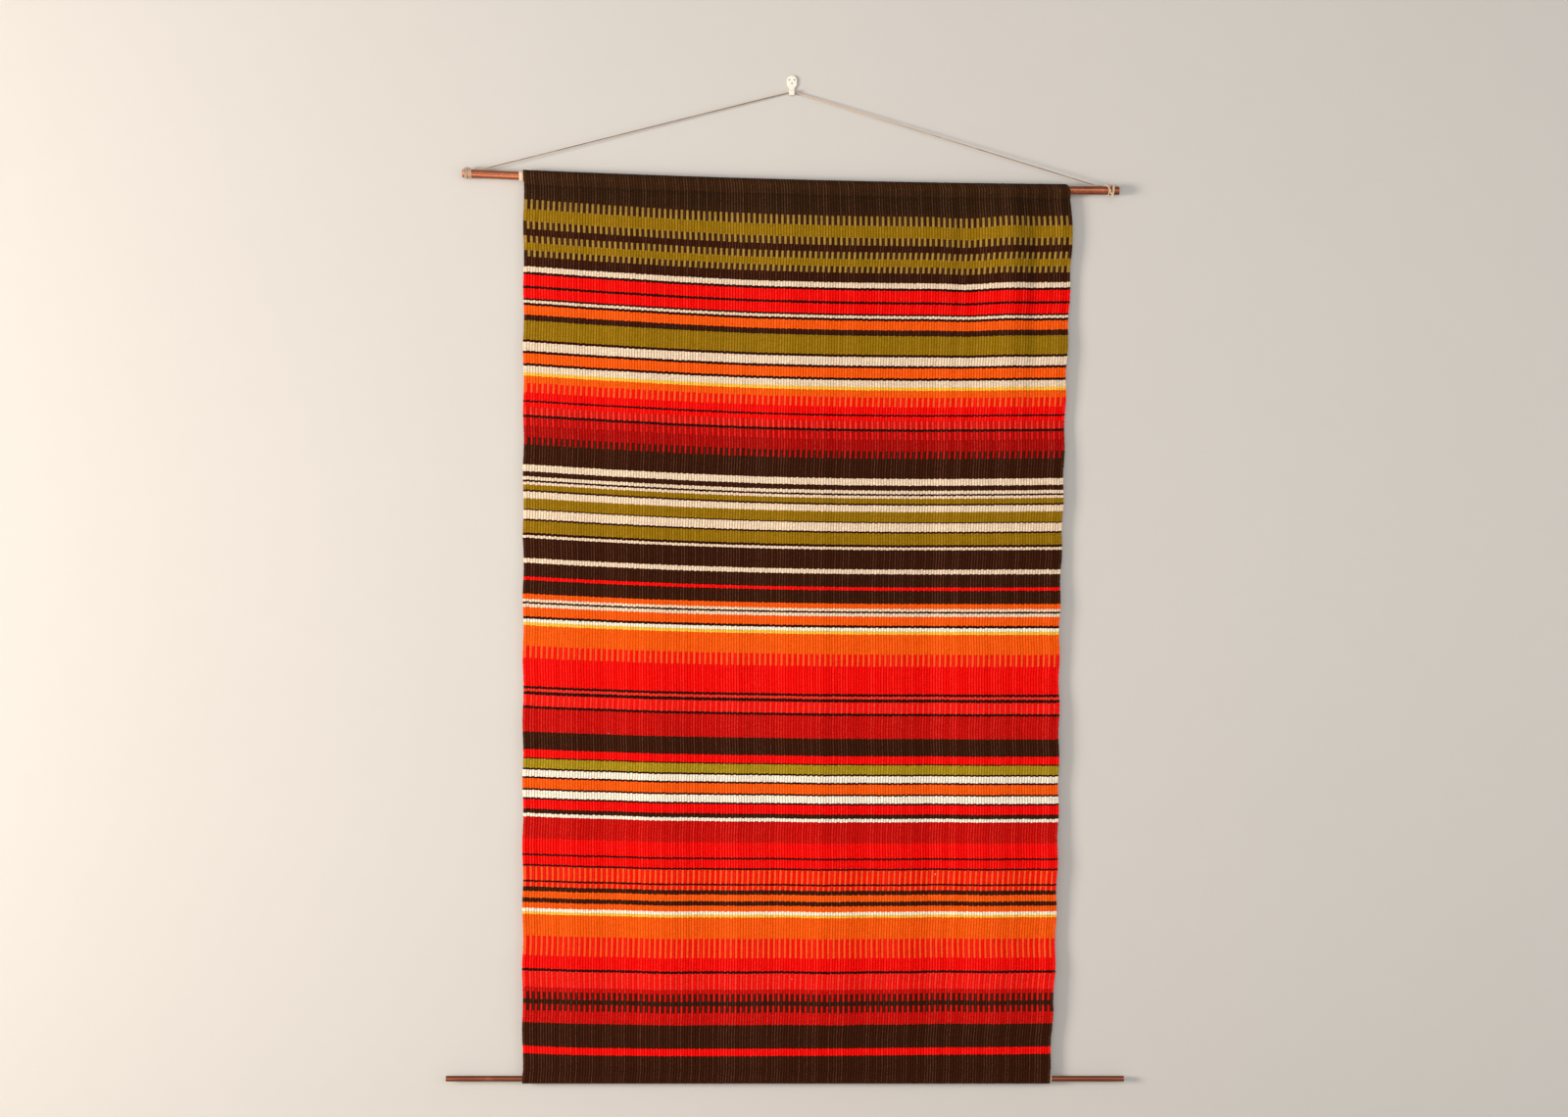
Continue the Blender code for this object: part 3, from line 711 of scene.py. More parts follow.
def woolMaterial():
    # Each rib shows its own stitches, half a pick up or down from the next rib's. Tone varies by stitch, by
    # rib and in soft patches, the gaps between ribs are darkened as painted shade, rib tops carry a painted
    # highlight, the cloth under the top seam has painted shade, and band edges are ragged.
    look = woolLook
    material, tree, shader = makeMaterial("wool_web", Roughness=0.9, Sheen_Weight=0.01, Sheen_Roughness=0.6,
                                          Specular_IOR_Level=0.04)
    u, v = ownUv(tree)
    place = ownPlace(tree)
    rib = times(tree, u, weave["ribs"])
    ribNumber = maths(tree, "FLOOR", rib)
    ribPhase = maths(tree, "FRACT", rib)
    odd = maths(tree, "FLOORED_MODULO", ribNumber, 2.0)
    pick = timesPlus(tree, odd, 0.5, times(tree, v, totalPicks))
    slant = timesPlus(tree, ribPhase, look["slant"], pick)
    wander = maths(tree, "SUBTRACT", cellTone(tree, ribNumber, times(tree, pick, 0.14)), 0.5)
    ragged = maths(tree, "ADD", slant, times(tree, wander, look["ragged"]))
    colour = fillGroup(tree, draftColour, {"Pick": maths(tree, "FLOOR", ragged), "Odd": odd})["Colour"]
    stitch = cellTone(tree, ribNumber, slant)
    ribTone = addNode(tree, "TexWhiteNoise", {"W": ribNumber}, noise_dimensions="1D").outputs["Value"]
    fleck = noise(tree, place, 900.0, 3.0, 0.7)
    streak = noise(tree, joinXYZ(tree, times(tree, rib, 0.03), times(tree, pick, 0.4)), 1.0, 2.0)
    crest = maths(tree, "SINE", times(tree, ribPhase, math.pi))
    tone = look["tone"]
    for cause, share in ((stitch, "stitchTone"), (ribTone, "ribTone"), (fleck, "fleckTone"),
                         (streak, "streakTone")):
        tone = timesPlus(tree, cause, look[share], tone)
    # painted shade: darker in the gaps between the ribs
    tone = times(tree, tone, mapRange(tree, crest, 0.0, 0.75, look["gap"], 1.0))
    # painted highlight: rib tops lighter than their flanks
    rounded = maths(tree, "POWER", crest, 4.0)
    tone = times(tree, tone, mapRange(tree, rounded, 0.0, 1.0, *look["crestHighlight"]))
    # painted shade where the cloth turns away under the top seam: darkest in the crease, then dim down to the
    # first band
    below = belowSeam(tree, place)
    seamShade = times(tree, mapRange(tree, below, -0.0012, 0.0012, 0.0, 1.0),
                mapRange(tree, below, 0.022, 0.05, 1.0, 0.0))
    creaseShade = mapRange(tree, maths(tree, "ABSOLUTE", below), 0.0, 0.0022, 1.0, 0.0)
    shade = timesPlus(tree, creaseShade, look["creaseShade"],
                  timesPlus(tree, seamShade, look["seamShade"], 1.0))
    toned = shadeColour(tree, colour, times(tree, tone, shade))
    # painted highlight: pale lines along the top of the ribs, and a little lint clings here and there
    ridge = times(tree, maths(tree, "POWER", crest, 16.0),
                  mapRange(tree, stitch, 0.1, 0.9, 0.35, 1.0))
    ridgeHighlight = times(tree, ridge, mapRange(tree, ribTone, 0.2, 0.8, *look["ridgeHighlight"]))
    toned = mixColour(tree, ridgeHighlight, toned, linear(look["highlightColour"]))
    fluff = fillGroup(tree, lint, {"Vector": place, "Scale": 42.0, "Share": 0.02, "Size": 0.045})["Mask"]
    toned = mixColour(tree, times(tree, fluff, 0.8), toned, linear(look["lintColour"]))
    bead = maths(tree, "ABSOLUTE", maths(tree, "SINE", times(tree, slant, math.pi)))
    height = times(tree, maths(tree, "POWER", bead, 0.6),
                   timesPlus(tree, crest, 0.7, 0.3))
    height = timesPlus(tree, fleck, 0.55, height)
    setLook(tree, shader, toned, (fleck, 0.3, 0.7, 0.82, 1.0), height, look["bump"])
    return material


def alongTable(table, share):
    # straight lines between a table's pairs of a share and its value
    pairs = np.array(table)
    return np.interp(share, pairs[:, 0], pairs[:, 1])


def sleeveArc(radius, seam):
    # A sleeve's mid surface rises in a straight line from the flat part of its hem and then follows a
    # circle round its tube. Returns the circle's radius, the angle where the line meets it, and the
    # line's length.
    over = radius + hem["slideGap"] + hem["thickness"] / 2
    rise = seam - hem["flat"]
    reach = math.hypot(hem["layerOffset"], rise)
    meets = -math.pi / 2 + math.atan2(hem["layerOffset"], rise) + math.acos(over / reach)
    return over, meets, math.sqrt(reach ** 2 - over ** 2)


def arcPoints(radius, angles):
    # points of a circle, or the one point at a single angle
    return radius * np.stack([np.cos(angles), np.sin(angles)], -1)


def bothSides(half, count):
    # a half path and its mirror image, as evenly spaced points and their distances
    return spaced(np.vstack([half, (half * (-1, 1))[-2::-1]]), count=count)


def hemPath(radius, seam, rows):
    # A hem's mid surface round a tube, as y and z from the tube's centre, with the seam below: from the
    # cut edge behind up over the tube and down in front to the seam.
    over, meets, _ = sleeveArc(radius, seam)
    foot = [(hem["layerOffset"], -seam), (hem["layerOffset"], hem["flat"] - seam)]
    path, along = bothSides(np.vstack([foot, arcPoints(over, np.linspace(meets, math.pi / 2, 30))]), rows)
    return path[:, 0], path[:, 1], along


def bellCurve(away, width):
    # a bell curve: 1 in the middle and near 0 two widths away
    return np.exp(-(away / width) ** 2)


def waver(sizes, z):
    # a sine down an edge, from its height, its length and its start
    height, length, start = sizes
    return height * np.sin(math.tau * z / length + start)


def waves(x, z, u):
    # How far the cloth stands out from its plane: long shallow waves that grow lower down; near the top
    # right corner a fold whose right side turns away from the light, and fades downwards; a groove under
    # each seam; and edges that cup a little.
    d = drape
    hold = smoothStep(0.0, 0.16, -0.18 - z) * smoothStep(0.0, 0.12, z + 1.79)
    low = sum(height * np.sin(math.tau * x / length + start + lean * z)
              for height, length, start, lean in d["waves"])
    low = low * hold * (0.55 + 0.75 * smoothStep(0.5, 1.5, -z))
    drift = d["drift"] * smoothStep(0.25, 0.8, -z)
    crest = x - d["foldX"] + drift
    fold = np.where(crest < 0, bellCurve(crest, d["foldLeft"]), bellCurve(crest, d["foldRight"]))
    aboveSeam = z - tubeZ(x) + hem["topSeam"]
    dip = sum(depth * bellCurve(x - middle + drift, width) for middle, width, depth in d["dips"])
    fold = fold - 0.7 * dip * smoothStep(0, 0.05, -aboveSeam)
    onSleeve = smoothStep(-0.003, 0.014, aboveSeam)
    fold = fold * (1 - onSleeve) + 0.6 * np.maximum(fold, 0) * onSleeve  # never pressed into the tube
    streak = sum(height * bellCurve(x - middle, width) for middle, width, height in d["streaks"])
    fade = 1 - smoothStep(0.24, 0.75, -z)
    near = 1 - smoothStep(0.205, 0.33, -z)
    grooves = d["topGroove"] * bellCurve(aboveSeam + 0.0032, 0.0026)
    grooves = grooves + d["bottomGroove"] * bellCurve(z - bottomZ - hem["bottomSeam"] - 0.0035, 0.003)
    cup = d["cup"] * np.cos(math.tau * z / 0.23 + 1.0) * smoothStep(0.88, 1.0, np.abs(2 * u - 1)) * hold
    return low + d["foldHeight"] * fold * fade + streak * near - grooves + cup


def clothSheet(u):
    # The strip's mid surface at shares u of its width: up behind the top tube, over it, down the front,
    # under the bottom tube and up behind. Returns its points, outward directions and draft positions.
    left, width, rows = weave["left"], weave["width"], weave["hemRows"]
    xTop = left + (width - weave["drawIn"][0][1]) * u
    topY, topDrop, topAlong = hemPath(topRadius, hem["topSeam"], rows)
    lowY, lowDrop, lowAlong = hemPath(bottomRadius, hem["bottomSeam"], rows)
    # levels down the front, closer together beside both seams
    height = -topTube["drop"] - bottomZ
    close = np.array([0.0018, 0.0036, 0.0054, 0.0075, 0.011]) / height
    middle = np.linspace(0.011, 1, weave["webRows"] - 9)[:-1]
    t = np.concatenate([close, middle * (1 - close[-1]), 1 - close[::-1]])[:, None]
    seamZ = tubeZ(xTop)[None, :] - hem["topSeam"]
    footZ = bottomZ + hem["bottomSeam"]
    z = np.concatenate([tubeZ(xTop)[None, :] + topDrop[:, None], seamZ + (footZ - seamZ) * t,
                        np.repeat(bottomZ - lowDrop[::-1, None], len(u), 1)])
    y = np.concatenate([topY, np.full(len(t), -hem["layerOffset"]), lowY[::-1]])[:, None] + 0 * z
    share = np.clip((-topTube["drop"] - z) / height, 0, 1)
    leftEdge = left - weave["leftSpread"] * share + waver(weave["leftWaver"], z)
    rightEdge = left + width - alongTable(weave["drawIn"], share) + waver(weave["rightWaver"], z)
    climb = np.clip((z - tubeZ(xTop)[None, :] + 0.005) / weave["cornerRise"], 0, 1)
    rightEdge = rightEdge - weave["cornerInset"] * (1 - np.sqrt(1 - climb ** 2))
    x = leftEdge + (rightEdge - leftEdge) * u[None, :]
    # only the front stands out in waves, so they come in over each hem
    rise = np.linspace(0, 1, rows)
    front = np.concatenate([smoothStep(0.5, 0.85, rise), np.ones(len(t)), 1 - smoothStep(0, 0.3, rise)])
    stand = waves(x, z, u[None, :]) * front[:, None]
    # draft position in picks, from levels on the web and from distance round the hems
    topZ = tubeZ(left) + topRadius + hem["slideGap"] + hem["thickness"]
    skewed = u[None, :] ** alongTable(weave["bandSkew"], share)
    sag = alongTable(weave["bandSag"], share) * np.sin(math.pi * skewed)
    ripple = weave["bandDip"] * bellCurve(x - drape["dips"][0][0], 0.045) * (1 - smoothStep(0.25, 0.6, -z))
    fall = topZ - z - alongTable(weave["bandTilt"], share) * u[None, :] - sag - ripple
    fall[:rows] = fall[rows - 1] - (topAlong[-1] - topAlong)[:, None]
    fall[-rows:] = fall[-rows] + lowAlong[:, None]
    points = np.stack([x, tubeY + y - stand, z], 2)
    ahead = np.gradient(points, axis=0)
    outwards = np.stack([np.zeros_like(x), ahead[..., 2], -ahead[..., 1]], 2)
    outwards /= np.linalg.norm(outwards, axis=2)[..., None]
    return points, outwards, fall / (weave["pick"] * totalPicks)


def wrapped(points, normal, half, inner, uv):
    # both faces of a sheet as one ring of columns, half a thickness in front and inner behind
    ring = np.concatenate([points + normal * half, (points - normal * inner)[:, ::-1]], 1)
    return gridSurface(ring, np.concatenate([uv, uv[:, ::-1], uv[:, :1]], 1), ringCols=True, ends="strip")


def uneven(chance, share, shape):
    # factors near 1, normally spread by a share and cut off at twice that
    return 1 + share * chance.standard_normal(shape).clip(-2, 2)


def clothSurface(seed):
    # Two faces a half thickness to each side of the mid surface, thick on every rib and thin between,
    # joined along the four edges. Columns stand on each rib's crest and in each gap.
    chance = np.random.default_rng(seed)
    cols = 2 * weave["ribs"] + 1
    u = np.linspace(0, 1, cols)
    points, outwards, fall = clothSheet(u)
    half = np.where(np.arange(cols) % 2 == 1, weave["crest"], weave["valley"])
    half = (half * uneven(chance, weave["unevenRibs"], cols))[None, :]
    half = (half * uneven(chance, weave["unevenStitches"], fall.shape))[..., None]
    uv = np.stack([np.broadcast_to(u, fall.shape), fall], 2)
    return wrapped(points, outwards, half, np.minimum(half, weave["behind"]), uv)


selvedge = {
    "radius": 0.00095,
    "swell": 0.00022,  # at each second pick
    "outside": 0.0003,
    "beat": 0.0005,
    "uneven": 0.00025,
}


def selvedgeSurface(u, side, seed):
    # a cord of turned weft along one edge of the cloth, swelling a little at each second pick
    chance = np.random.default_rng(seed)
    points, _, fall = clothSheet(np.array([u]))
    route, along = evenRoute(points[:, 0], 0.0008)
    rough = distances(points[:, 0])
    picks = np.interp(along / along[-1], rough / rough[-1], fall[:, 0])
    beat = np.abs(np.sin(math.pi * along / (2 * weave["pick"])))
    loose = selvedge["uneven"] * chance.standard_normal(len(along)).clip(-2, 2)
    route[:, 0] += side * (selvedge["outside"] + selvedge["beat"] * beat + loose)
    tube = roundTube(route, along, selvedge["radius"] + selvedge["swell"] * beat, 8)
    # it takes its colours from the rib beside it
    rib = 0.0 if u < 0.5 else (weave["ribs"] - 1.0)
    for key in ("quadUv", "triUv"):
        turn, place = tube[key][..., 0], tube[key][..., 1]
        tube[key] = np.stack([(rib + 0.35 + 0.3 * (turn % 1.0)) / weave["ribs"],
                              np.interp(place, along, picks)], -1)
    return tube


print("woven cloth")
draftColour = draftGroup()
wool = woolMaterial()
clothPiece = makeObject("woven_cloth", clothSurface(7), wool)
leftSelvedge = makeObject("left_selvedge", selvedgeSurface(0.0, -1.0, 11), wool)
rightSelvedge = makeObject("right_selvedge", selvedgeSurface(1.0, 1.0, 12), wool)
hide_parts("top_sleeve", "upper_web", "lower_web", "bottom_sleeve")
for piece in (clothPiece, leftSelvedge, rightSelvedge):
    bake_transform(piece)


# ---- hem tapes and seam stitches

tape = {
    "thickness": 0.0005,
    "gap": 0.0003,
    "foot": 0.003,
    "topOut": 0.0095,  # showing past the top sleeve's left mouth
    "bottomOut": 0.0050,  # and past the bottom sleeve's right mouth
    "frayed": 0.0006,
    "curl": 0.0005,
    "rows": 34,
    "cols": 150,
    "pitch": 0.0014,  # of its plain weave
    "bump": 0.0002,
    "colour": (234, 206, 178),
}
stitching = {
    "length": 0.0052,
    "gap": 0.0030,
    "radius": 0.00042,
    "belowSeam": 0.002,
    "inset": 0.004,
    "lift": 0.0007,  # each end dives so deep, and the middle stands that much more proud
    "arch": 0.0010,
    "stray": 0.0004,
    "slant": 0.0003,
    "twist": 0.0024,
    "colour": (40, 21, 10),
}


def tapeMaterial():
    # plain weave, slightly soiled, from the sine of the distance across and along, with painted shade in the
    # weave's hollows and a painted highlight on its raised threads
    material, tree, shader = makeMaterial("cotton_tape", Roughness=0.9, Sheen_Weight=0.08,
                                          Specular_IOR_Level=0.2)
    place = ownPlace(tree)
    threads = [maths(tree, "SINE", times(tree, way, math.tau / tape["pitch"]))
               for way in ownUv(tree)]
    grain = noise(tree, place, 1400.0, 3.0, 0.65)
    height = timesPlus(tree, grain, 0.6, times(tree, *threads))
    soiled = varied(tree, place, linear(tape["colour"]), 38.0, 0.12)["Colour"]
    # painted shade in the weave's hollows, painted highlight on its raised threads
    toned = shadeColour(tree, soiled, mapRange(tree, height, -0.8, 1.4, 0.72, 1.08))
    setLook(tree, shader, toned, (grain, 0.3, 0.7, 0.82, 1.0), height, tape["bump"])
    return material


def tapeSurface(radius, seam, left, right, centreZ, upside, curlEnd, seed):
    # A strip that lines a sleeve, from its back over the tube to its front. The end that shows flares a
    # little away from the tube and its edge is uneven.
    chance = np.random.default_rng(seed)
    over, meets, straight = sleeveArc(radius, seam)
    inset = (hem["thickness"] + tape["thickness"]) / 2 + tape["gap"]
    circle = arcPoints(over - inset, np.linspace(meets, math.pi / 2, 26))
    foot = circle[0] + arcPoints(straight - tape["foot"], meets - math.pi / 2)
    path, even = bothSides(np.vstack([[foot], circle]), tape["rows"])
    y, z = path.T
    share = np.linspace(0, 1, tape["cols"])
    share = share - 0.018 * np.sin(math.tau * share)  # closer together near both ends
    frayed = tape["frayed"] * chance.standard_normal(tape["rows"])[:, None] * (np.abs(2 * share - 1) > 0.985)
    x = left + (right - left) * share[None, :] + frayed
    fromEnd = np.abs(x - (left if curlEnd < 0 else right))
    curl = tape["curl"] * np.exp(-fromEnd / 0.004) * (1 + np.sin(np.linspace(0, 9, tape["rows"])))[:, None]
    points = np.stack([x, tubeY + y[:, None] + 0 * x, centreZ(x) + upside * z[:, None]], 2)
    across = np.gradient(points[:, :, 1:], axis=0)
    across /= np.linalg.norm(across, axis=2)[..., None]
    normal = np.stack([np.zeros_like(x), across[..., 1], -across[..., 0]], 2)
    points = points + upside * normal * curl[..., None]
    half = tape["thickness"] / 2
    return wrapped(points, normal, half, half, np.stack([x, np.broadcast_to(even[:, None], x.shape)], 2))


def twistedLook(tree, shader, colour, fibres, variation, gloss, depth):
    # the colour, roughness and bump of plied thread or twine, from its turn and its length; the colour
    # carries painted shade between the plies
    turn, along = ownUv(tree)
    ply = fillGroup(tree, plyTwist, {"Turn": turn, "Along": along, "Fibres": fibres})
    shaded = varied(tree, ownPlace(tree), colour, *variation)
    setLook(tree, shader, shadeColour(tree, shaded["Colour"], ply["Shade"]),
            (shaded["Height"], 0.3, 0.7, *gloss), ply["Height"], depth)


def threadMaterial():
    # dark two-ply sewing thread
    material, tree, shader = makeMaterial("seam_thread", Roughness=0.9, Specular_IOR_Level=0.1)
    twistedLook(tree, shader, linear(stitching["colour"]), 7.0, (150.0, 0.25), (0.6, 0.85), 0.0001)
    return material


def stitchRow(left, right, seamZ, seed):
    # A row of running stitches on the face of the cloth, below a seam. Each is a short arched bit of
    # two-ply thread that dives into the cloth at both ends.
    chance = np.random.default_rng(seed)
    pitch = stitching["length"] + stitching["gap"]
    front = tubeY - hem["layerOffset"] - weave["crest"]
    radius = stitching["radius"]
    t = np.linspace(0, 1, 7)
    surfaces = []
    for start in np.arange(left + stitching["inset"], right - stitching["inset"] - pitch, pitch):
        length = stitching["length"] * chance.uniform(0.88, 1.08)
        x = start + length * t
        y = front + stitching["lift"] - (stitching["arch"] + radius * 0.4) * np.sin(math.pi * t) ** 0.5
        stray = chance.uniform(-stitching["stray"], stitching["stray"])
        z = seamZ(x) + stray + stitching["slant"] * (t - 0.5)
        y = y - waves(x, z, (x - left) / (right - left))
        route, along = evenRoute(np.stack([x, y, z], 1), length / 8)
        surfaces.append(roundTube(route, along, radius, 6, 2, 0.2, stitching["twist"]))
    return joinSurfaces(surfaces)


print("hems")
cotton = tapeMaterial()
thread = threadMaterial()
topRightX = weave["left"] + weave["width"] - weave["drawIn"][0][1]
bottomLeftX = weave["left"] - weave["leftSpread"]
bottomRightX = weave["left"] + weave["width"] - weave["drawIn"][-1][1]
topTape = makeObject("top_tape", tapeSurface(
    topRadius, hem["topSeam"], weave["left"] - tape["topOut"], topRightX - tape["topOut"], tubeZ,
    1, -1, 21), cotton)
bottomTape = makeObject("bottom_tape", tapeSurface(
    bottomRadius, hem["bottomSeam"], bottomLeftX + tape["bottomOut"], bottomRightX + tape["bottomOut"],
    flatLevel(bottomZ), -1, 1, 22), cotton)
topStitches = makeObject("top_seam_stitches", stitchRow(
    weave["left"], topRightX, lambda x: tubeZ(x) - hem["topSeam"] - stitching["belowSeam"], 31), thread)
bottomStitches = makeObject("bottom_seam_stitches", stitchRow(
    bottomLeftX, bottomRightX, flatLevel(bottomZ + hem["bottomSeam"] + stitching["belowSeam"]), 32), thread)
carry(topTape, "upper_cloth", "top_hem_tape")
carry(topStitches, "upper_cloth", "top_seam_thread")
carry(bottomTape, "lower_cloth", "bottom_hem_tape")
carry(bottomStitches, "lower_cloth", "bottom_seam_thread")


# ---- the twine and its knots

twine = {
    "diameter": 0.002,
    "apex": (0.0, -0.00465, -0.0112),  # where it crosses the hook
    "bend": 0.005,  # how softly it bends over the hook
    "wrapRadius": 0.009,
    "leftStart": -0.589,
    "leftPitch": 0.0036,
    "rightStart": 0.5855,
    "rightPitch": 0.0060,
    "turns": 1.5,
    "runOut": 0.016,
    "stepsPerTurn": 60,
    "legPoints": 160,
    "plies": 3,
    "plyDepth": 0.2,
    "plyPitch": 0.0075,
    "swell": 1.04,  # round the outside of the plies
    "sides": 12,
    "step": 0.0009,
    "soften": 0.0015,
    "tan": (150, 120, 88),
    "cream": (238, 214, 184),
    "litPeach": (236, 198, 166),  # painted light: a paler stretch to the right of the hook, where light falls on it
}


def onTube(x, angle):
    # a point of a wrap, at an angle round the top tube from its top
    radius = twine["wrapRadius"]
    return np.stack([x, tubeY - radius * np.sin(angle), tubeZ(x) + radius * np.cos(angle)], 1)


def wrapPoints(start, inward, pitch):
    # Turns round the tube from the outermost one inwards, then a last half turn that speeds up along the
    # tube, so that the twine leaves in line with the tube's top.
    steps, turns = twine["stepsPerTurn"], twine["turns"]
    i = np.arange(math.ceil(turns * steps))
    wound = onTube(start + inward * pitch * i / steps, math.tau * i / steps)
    t = np.arange(steps) / (steps - 1)
    x = start + inward * (pitch * (turns + t) + twine["runOut"] * t ** 2)
    return np.vstack([wound, onTube(x, math.tau * (turns + 0.5 - (1 - t) ** 2 / 2))])


def legPoints(start):
    # a taut leg from the tube's top to the hook: straight, and bent softly over the hook
    apex, count = np.array(twine["apex"]), twine["legPoints"]
    t = 1 - (1 - np.arange(1, count + 1) / (count + 1)) ** 2
    x = start[0] + (apex[0] - start[0]) * t
    reach = math.hypot(apex[0] - start[0], twine["bend"]) - twine["bend"]
    rise = (np.hypot(apex[0] - x, twine["bend"]) - twine["bend"]) / reach
    return np.stack([x, start[1] + (apex[1] - start[1]) * t, apex[2] + (start[2] - apex[2]) * rise], 1)


def twineMaterial():
    # three-ply natural twine: tan with paler stretches, painted light on a stretch right of the hook, and
    # painted shade in the gaps between the plies
    material, tree, shader = makeMaterial("natural_twine", Roughness=0.85, Sheen_Weight=0.1,
                                          Specular_IOR_Level=0.2)
    place = ownPlace(tree)
    x = splitXYZ(tree, place)[0]
    ends = mapRange(tree, maths(tree, "ABSOLUTE", x), 0.545, 0.575, 0.0, 0.8)
    patches = mapRange(tree, noise(tree, place, 34.0, 2.0), 0.45, 0.68, 0.0, 0.35)
    colour = mixColour(tree, maths(tree, "MAXIMUM", ends, patches), linear(twine["tan"]),
                       linear(twine["cream"]))
    # painted light: peach just right of the hook, where light falls on the twine
    litStretch = maths(tree, "MINIMUM", mapRange(tree, x, 0.004, 0.012, 0.0, 0.75),
                  mapRange(tree, x, 0.12, 0.34, 0.75, 0.0))
    colour = mixColour(tree, litStretch, colour, linear(twine["litPeach"]))
    twistedLook(tree, shader, colour, 8.0, (420.0, 0.22), (0.75, 0.95), 0.00015)
    return material


knot = {
    "size": (0.00078, 0.00072, 0.00072),  # of the trefoil curve, along, across and up
    "open": 0.25,
    "tilt": 1.3,
    "ahead": 0.0030,
    "rise": 0.0006,
    "radius": 0.00092,
    "hitchRadius": 0.00104,
    "frays": 9,
    "frayRadius": 0.00022,
    "frayLength": (0.0045, 0.0075),
    "fraySpread": 0.32,
    "frayDroop": 0.0022,
}


def leftHitch():
    # two more turns between the first wrap and the tube's end, a little uneven
    angle = np.linspace(-0.2, -2.0 * math.tau, 90)
    x = twine["leftStart"] - 0.0010 + 0.0034 * angle / math.tau + 0.0005 * np.sin(2.3 * angle)
    return onTube(x, angle)


def rightHitch():
    # a loop of the free end laid over the wraps: down in front, round just below the tube and up again,
    # as distances along and across the tube from its centre line
    places = np.array([(0.5700, 0.0010, 0.0104), (0.5735, -0.0075, 0.0082), (0.5775, -0.0112, 0.0010),
                       (0.5808, -0.0106, -0.0072), (0.5832, -0.0094, -0.0122), (0.5847, -0.0108, -0.0070),
                       (0.5858, -0.0112, 0.0004), (0.5862, -0.0080, 0.0080), (0.5860, -0.0010, 0.0110)])
    return np.stack([places[:, 0], tubeY + places[:, 1], tubeZ(places[:, 0]) + places[:, 2]], 1)


def pliedTwine(route, along, radius):
    # a tube of the twine's three plies
    return roundTube(route, along, radius, twine["sides"], twine["plies"], twine["plyDepth"],
                     twine["plyPitch"])


def knotSurface(end, inner, hitch, seed):
    # An overhand knot pulled tight: the open middle of a trefoil curve flattened to the knot's size, with
    # its hitch round the tube and a short tail that frays into thin strands.
    chance = np.random.default_rng(seed)
    ahead = (end - inner) / np.linalg.norm(end - inner)
    across = np.array([1.0, 0.0, 0.0])
    up = np.cross(ahead, across)
    up = up if up[2] > 0 else -up
    t = np.linspace(knot["open"], math.tau - knot["open"], 40)
    loop = np.stack([np.sin(t) + 2 * np.sin(2 * t), np.cos(t) - 2 * np.cos(2 * t),
                     -knot["tilt"] * np.sin(3 * t)], 1)
    middle = end + ahead * knot["ahead"] + np.array([0, 0, knot["rise"]])
    points = middle + (loop * knot["size"]) @ np.stack([ahead, across, up])
    surfaces = []
    for line, radius in ((points, knot["radius"]), (hitch, knot["hitchRadius"])):
        route, along = evenRoute(line, 0.0006)
        surfaces.append(pliedTwine(route, along, radius))
    side = 1.0 if end[0] > 0 else -1.0
    s = np.linspace(0, 1, 5)[:, None]
    for strand in range(knot["frays"]):
        tip = np.array([side * 0.9, -0.25, 0.35]) + chance.normal(0, knot["fraySpread"], 3)
        length = chance.uniform(*knot["frayLength"])
        root = middle + np.array([side * 0.0012, -0.0004, 0.0006]) + chance.normal(0, 0.0003, 3)
        path = root + s * tip / np.linalg.norm(tip) * length + np.array([0, 0, -knot["frayDroop"]]) * s ** 2
        route, along = evenRoute(path, length / 7)
        surfaces.append(roundTube(route, along, knot["frayRadius"] * (1 - 0.6 * along / along[-1]), 5))
    return joinSurfaces(surfaces)


print("twine")
string = twineMaterial()
leftWrap = wrapPoints(twine["leftStart"], 1, twine["leftPitch"])
rightWrap = wrapPoints(twine["rightStart"], -1, twine["rightPitch"])
cordPath = np.vstack([leftWrap, legPoints(leftWrap[-1]), [twine["apex"]],
                      np.vstack([rightWrap, legPoints(rightWrap[-1])])[::-1]])
cordRoute, cordAlong = evenRoute(cordPath, twine["step"], twine["soften"])
cordPiece = makeObject("hanging_twine", pliedTwine(cordRoute, cordAlong, twine["diameter"] / 2
                                                   * twine["swell"]), string)
leftKnot = makeObject("left_twine_knot", knotSurface(leftWrap[0], leftWrap[1], leftHitch(), 41), string)
rightKnot = makeObject("right_twine_knot", knotSurface(rightWrap[0], rightWrap[1], rightHitch(), 42), string)
carry(cordPiece, "twine", "hanging_cord")
carry(leftKnot, "twine", "left_knot")
carry(rightKnot, "twine", "right_knot")
print("twine length", round(float(cordAlong[-1]), 4))


# ---- the hook and its pins

hook = {
    "top": 0.0196,
    "plateThick": 0.0030,
    "plateHalfWidth": 0.0095,
    "lipHalfWidth": 0.0050,
    "corner": 0.0080,
    "trough": (-0.00465, -0.0118),  # y and z of the trough's centre
    "troughRadius": 0.00165,
    "floorThick": 0.0036,
    "lipThick": 0.0027,
    "tip": -0.0096,
    "narrowing": (0.0165, 0.0235),  # from the top, where the plate narrows to the lip's width
    "squareness": 0.30,  # of its section: 1 is an ellipse, and near 0 a rectangle
    "plateRows": 60,
    "bendRows": 34,
    "lipRows": 7,
    "endRows": 6,
    "sides": 48,
    "colour": (232, 224, 210),
    "grime": (214, 204, 184),
    "bump": 0.00002,
}
pin = {
    "colour": (92, 84, 76),
    "worn": (150, 144, 136),
    "bump": 0.00002,
}


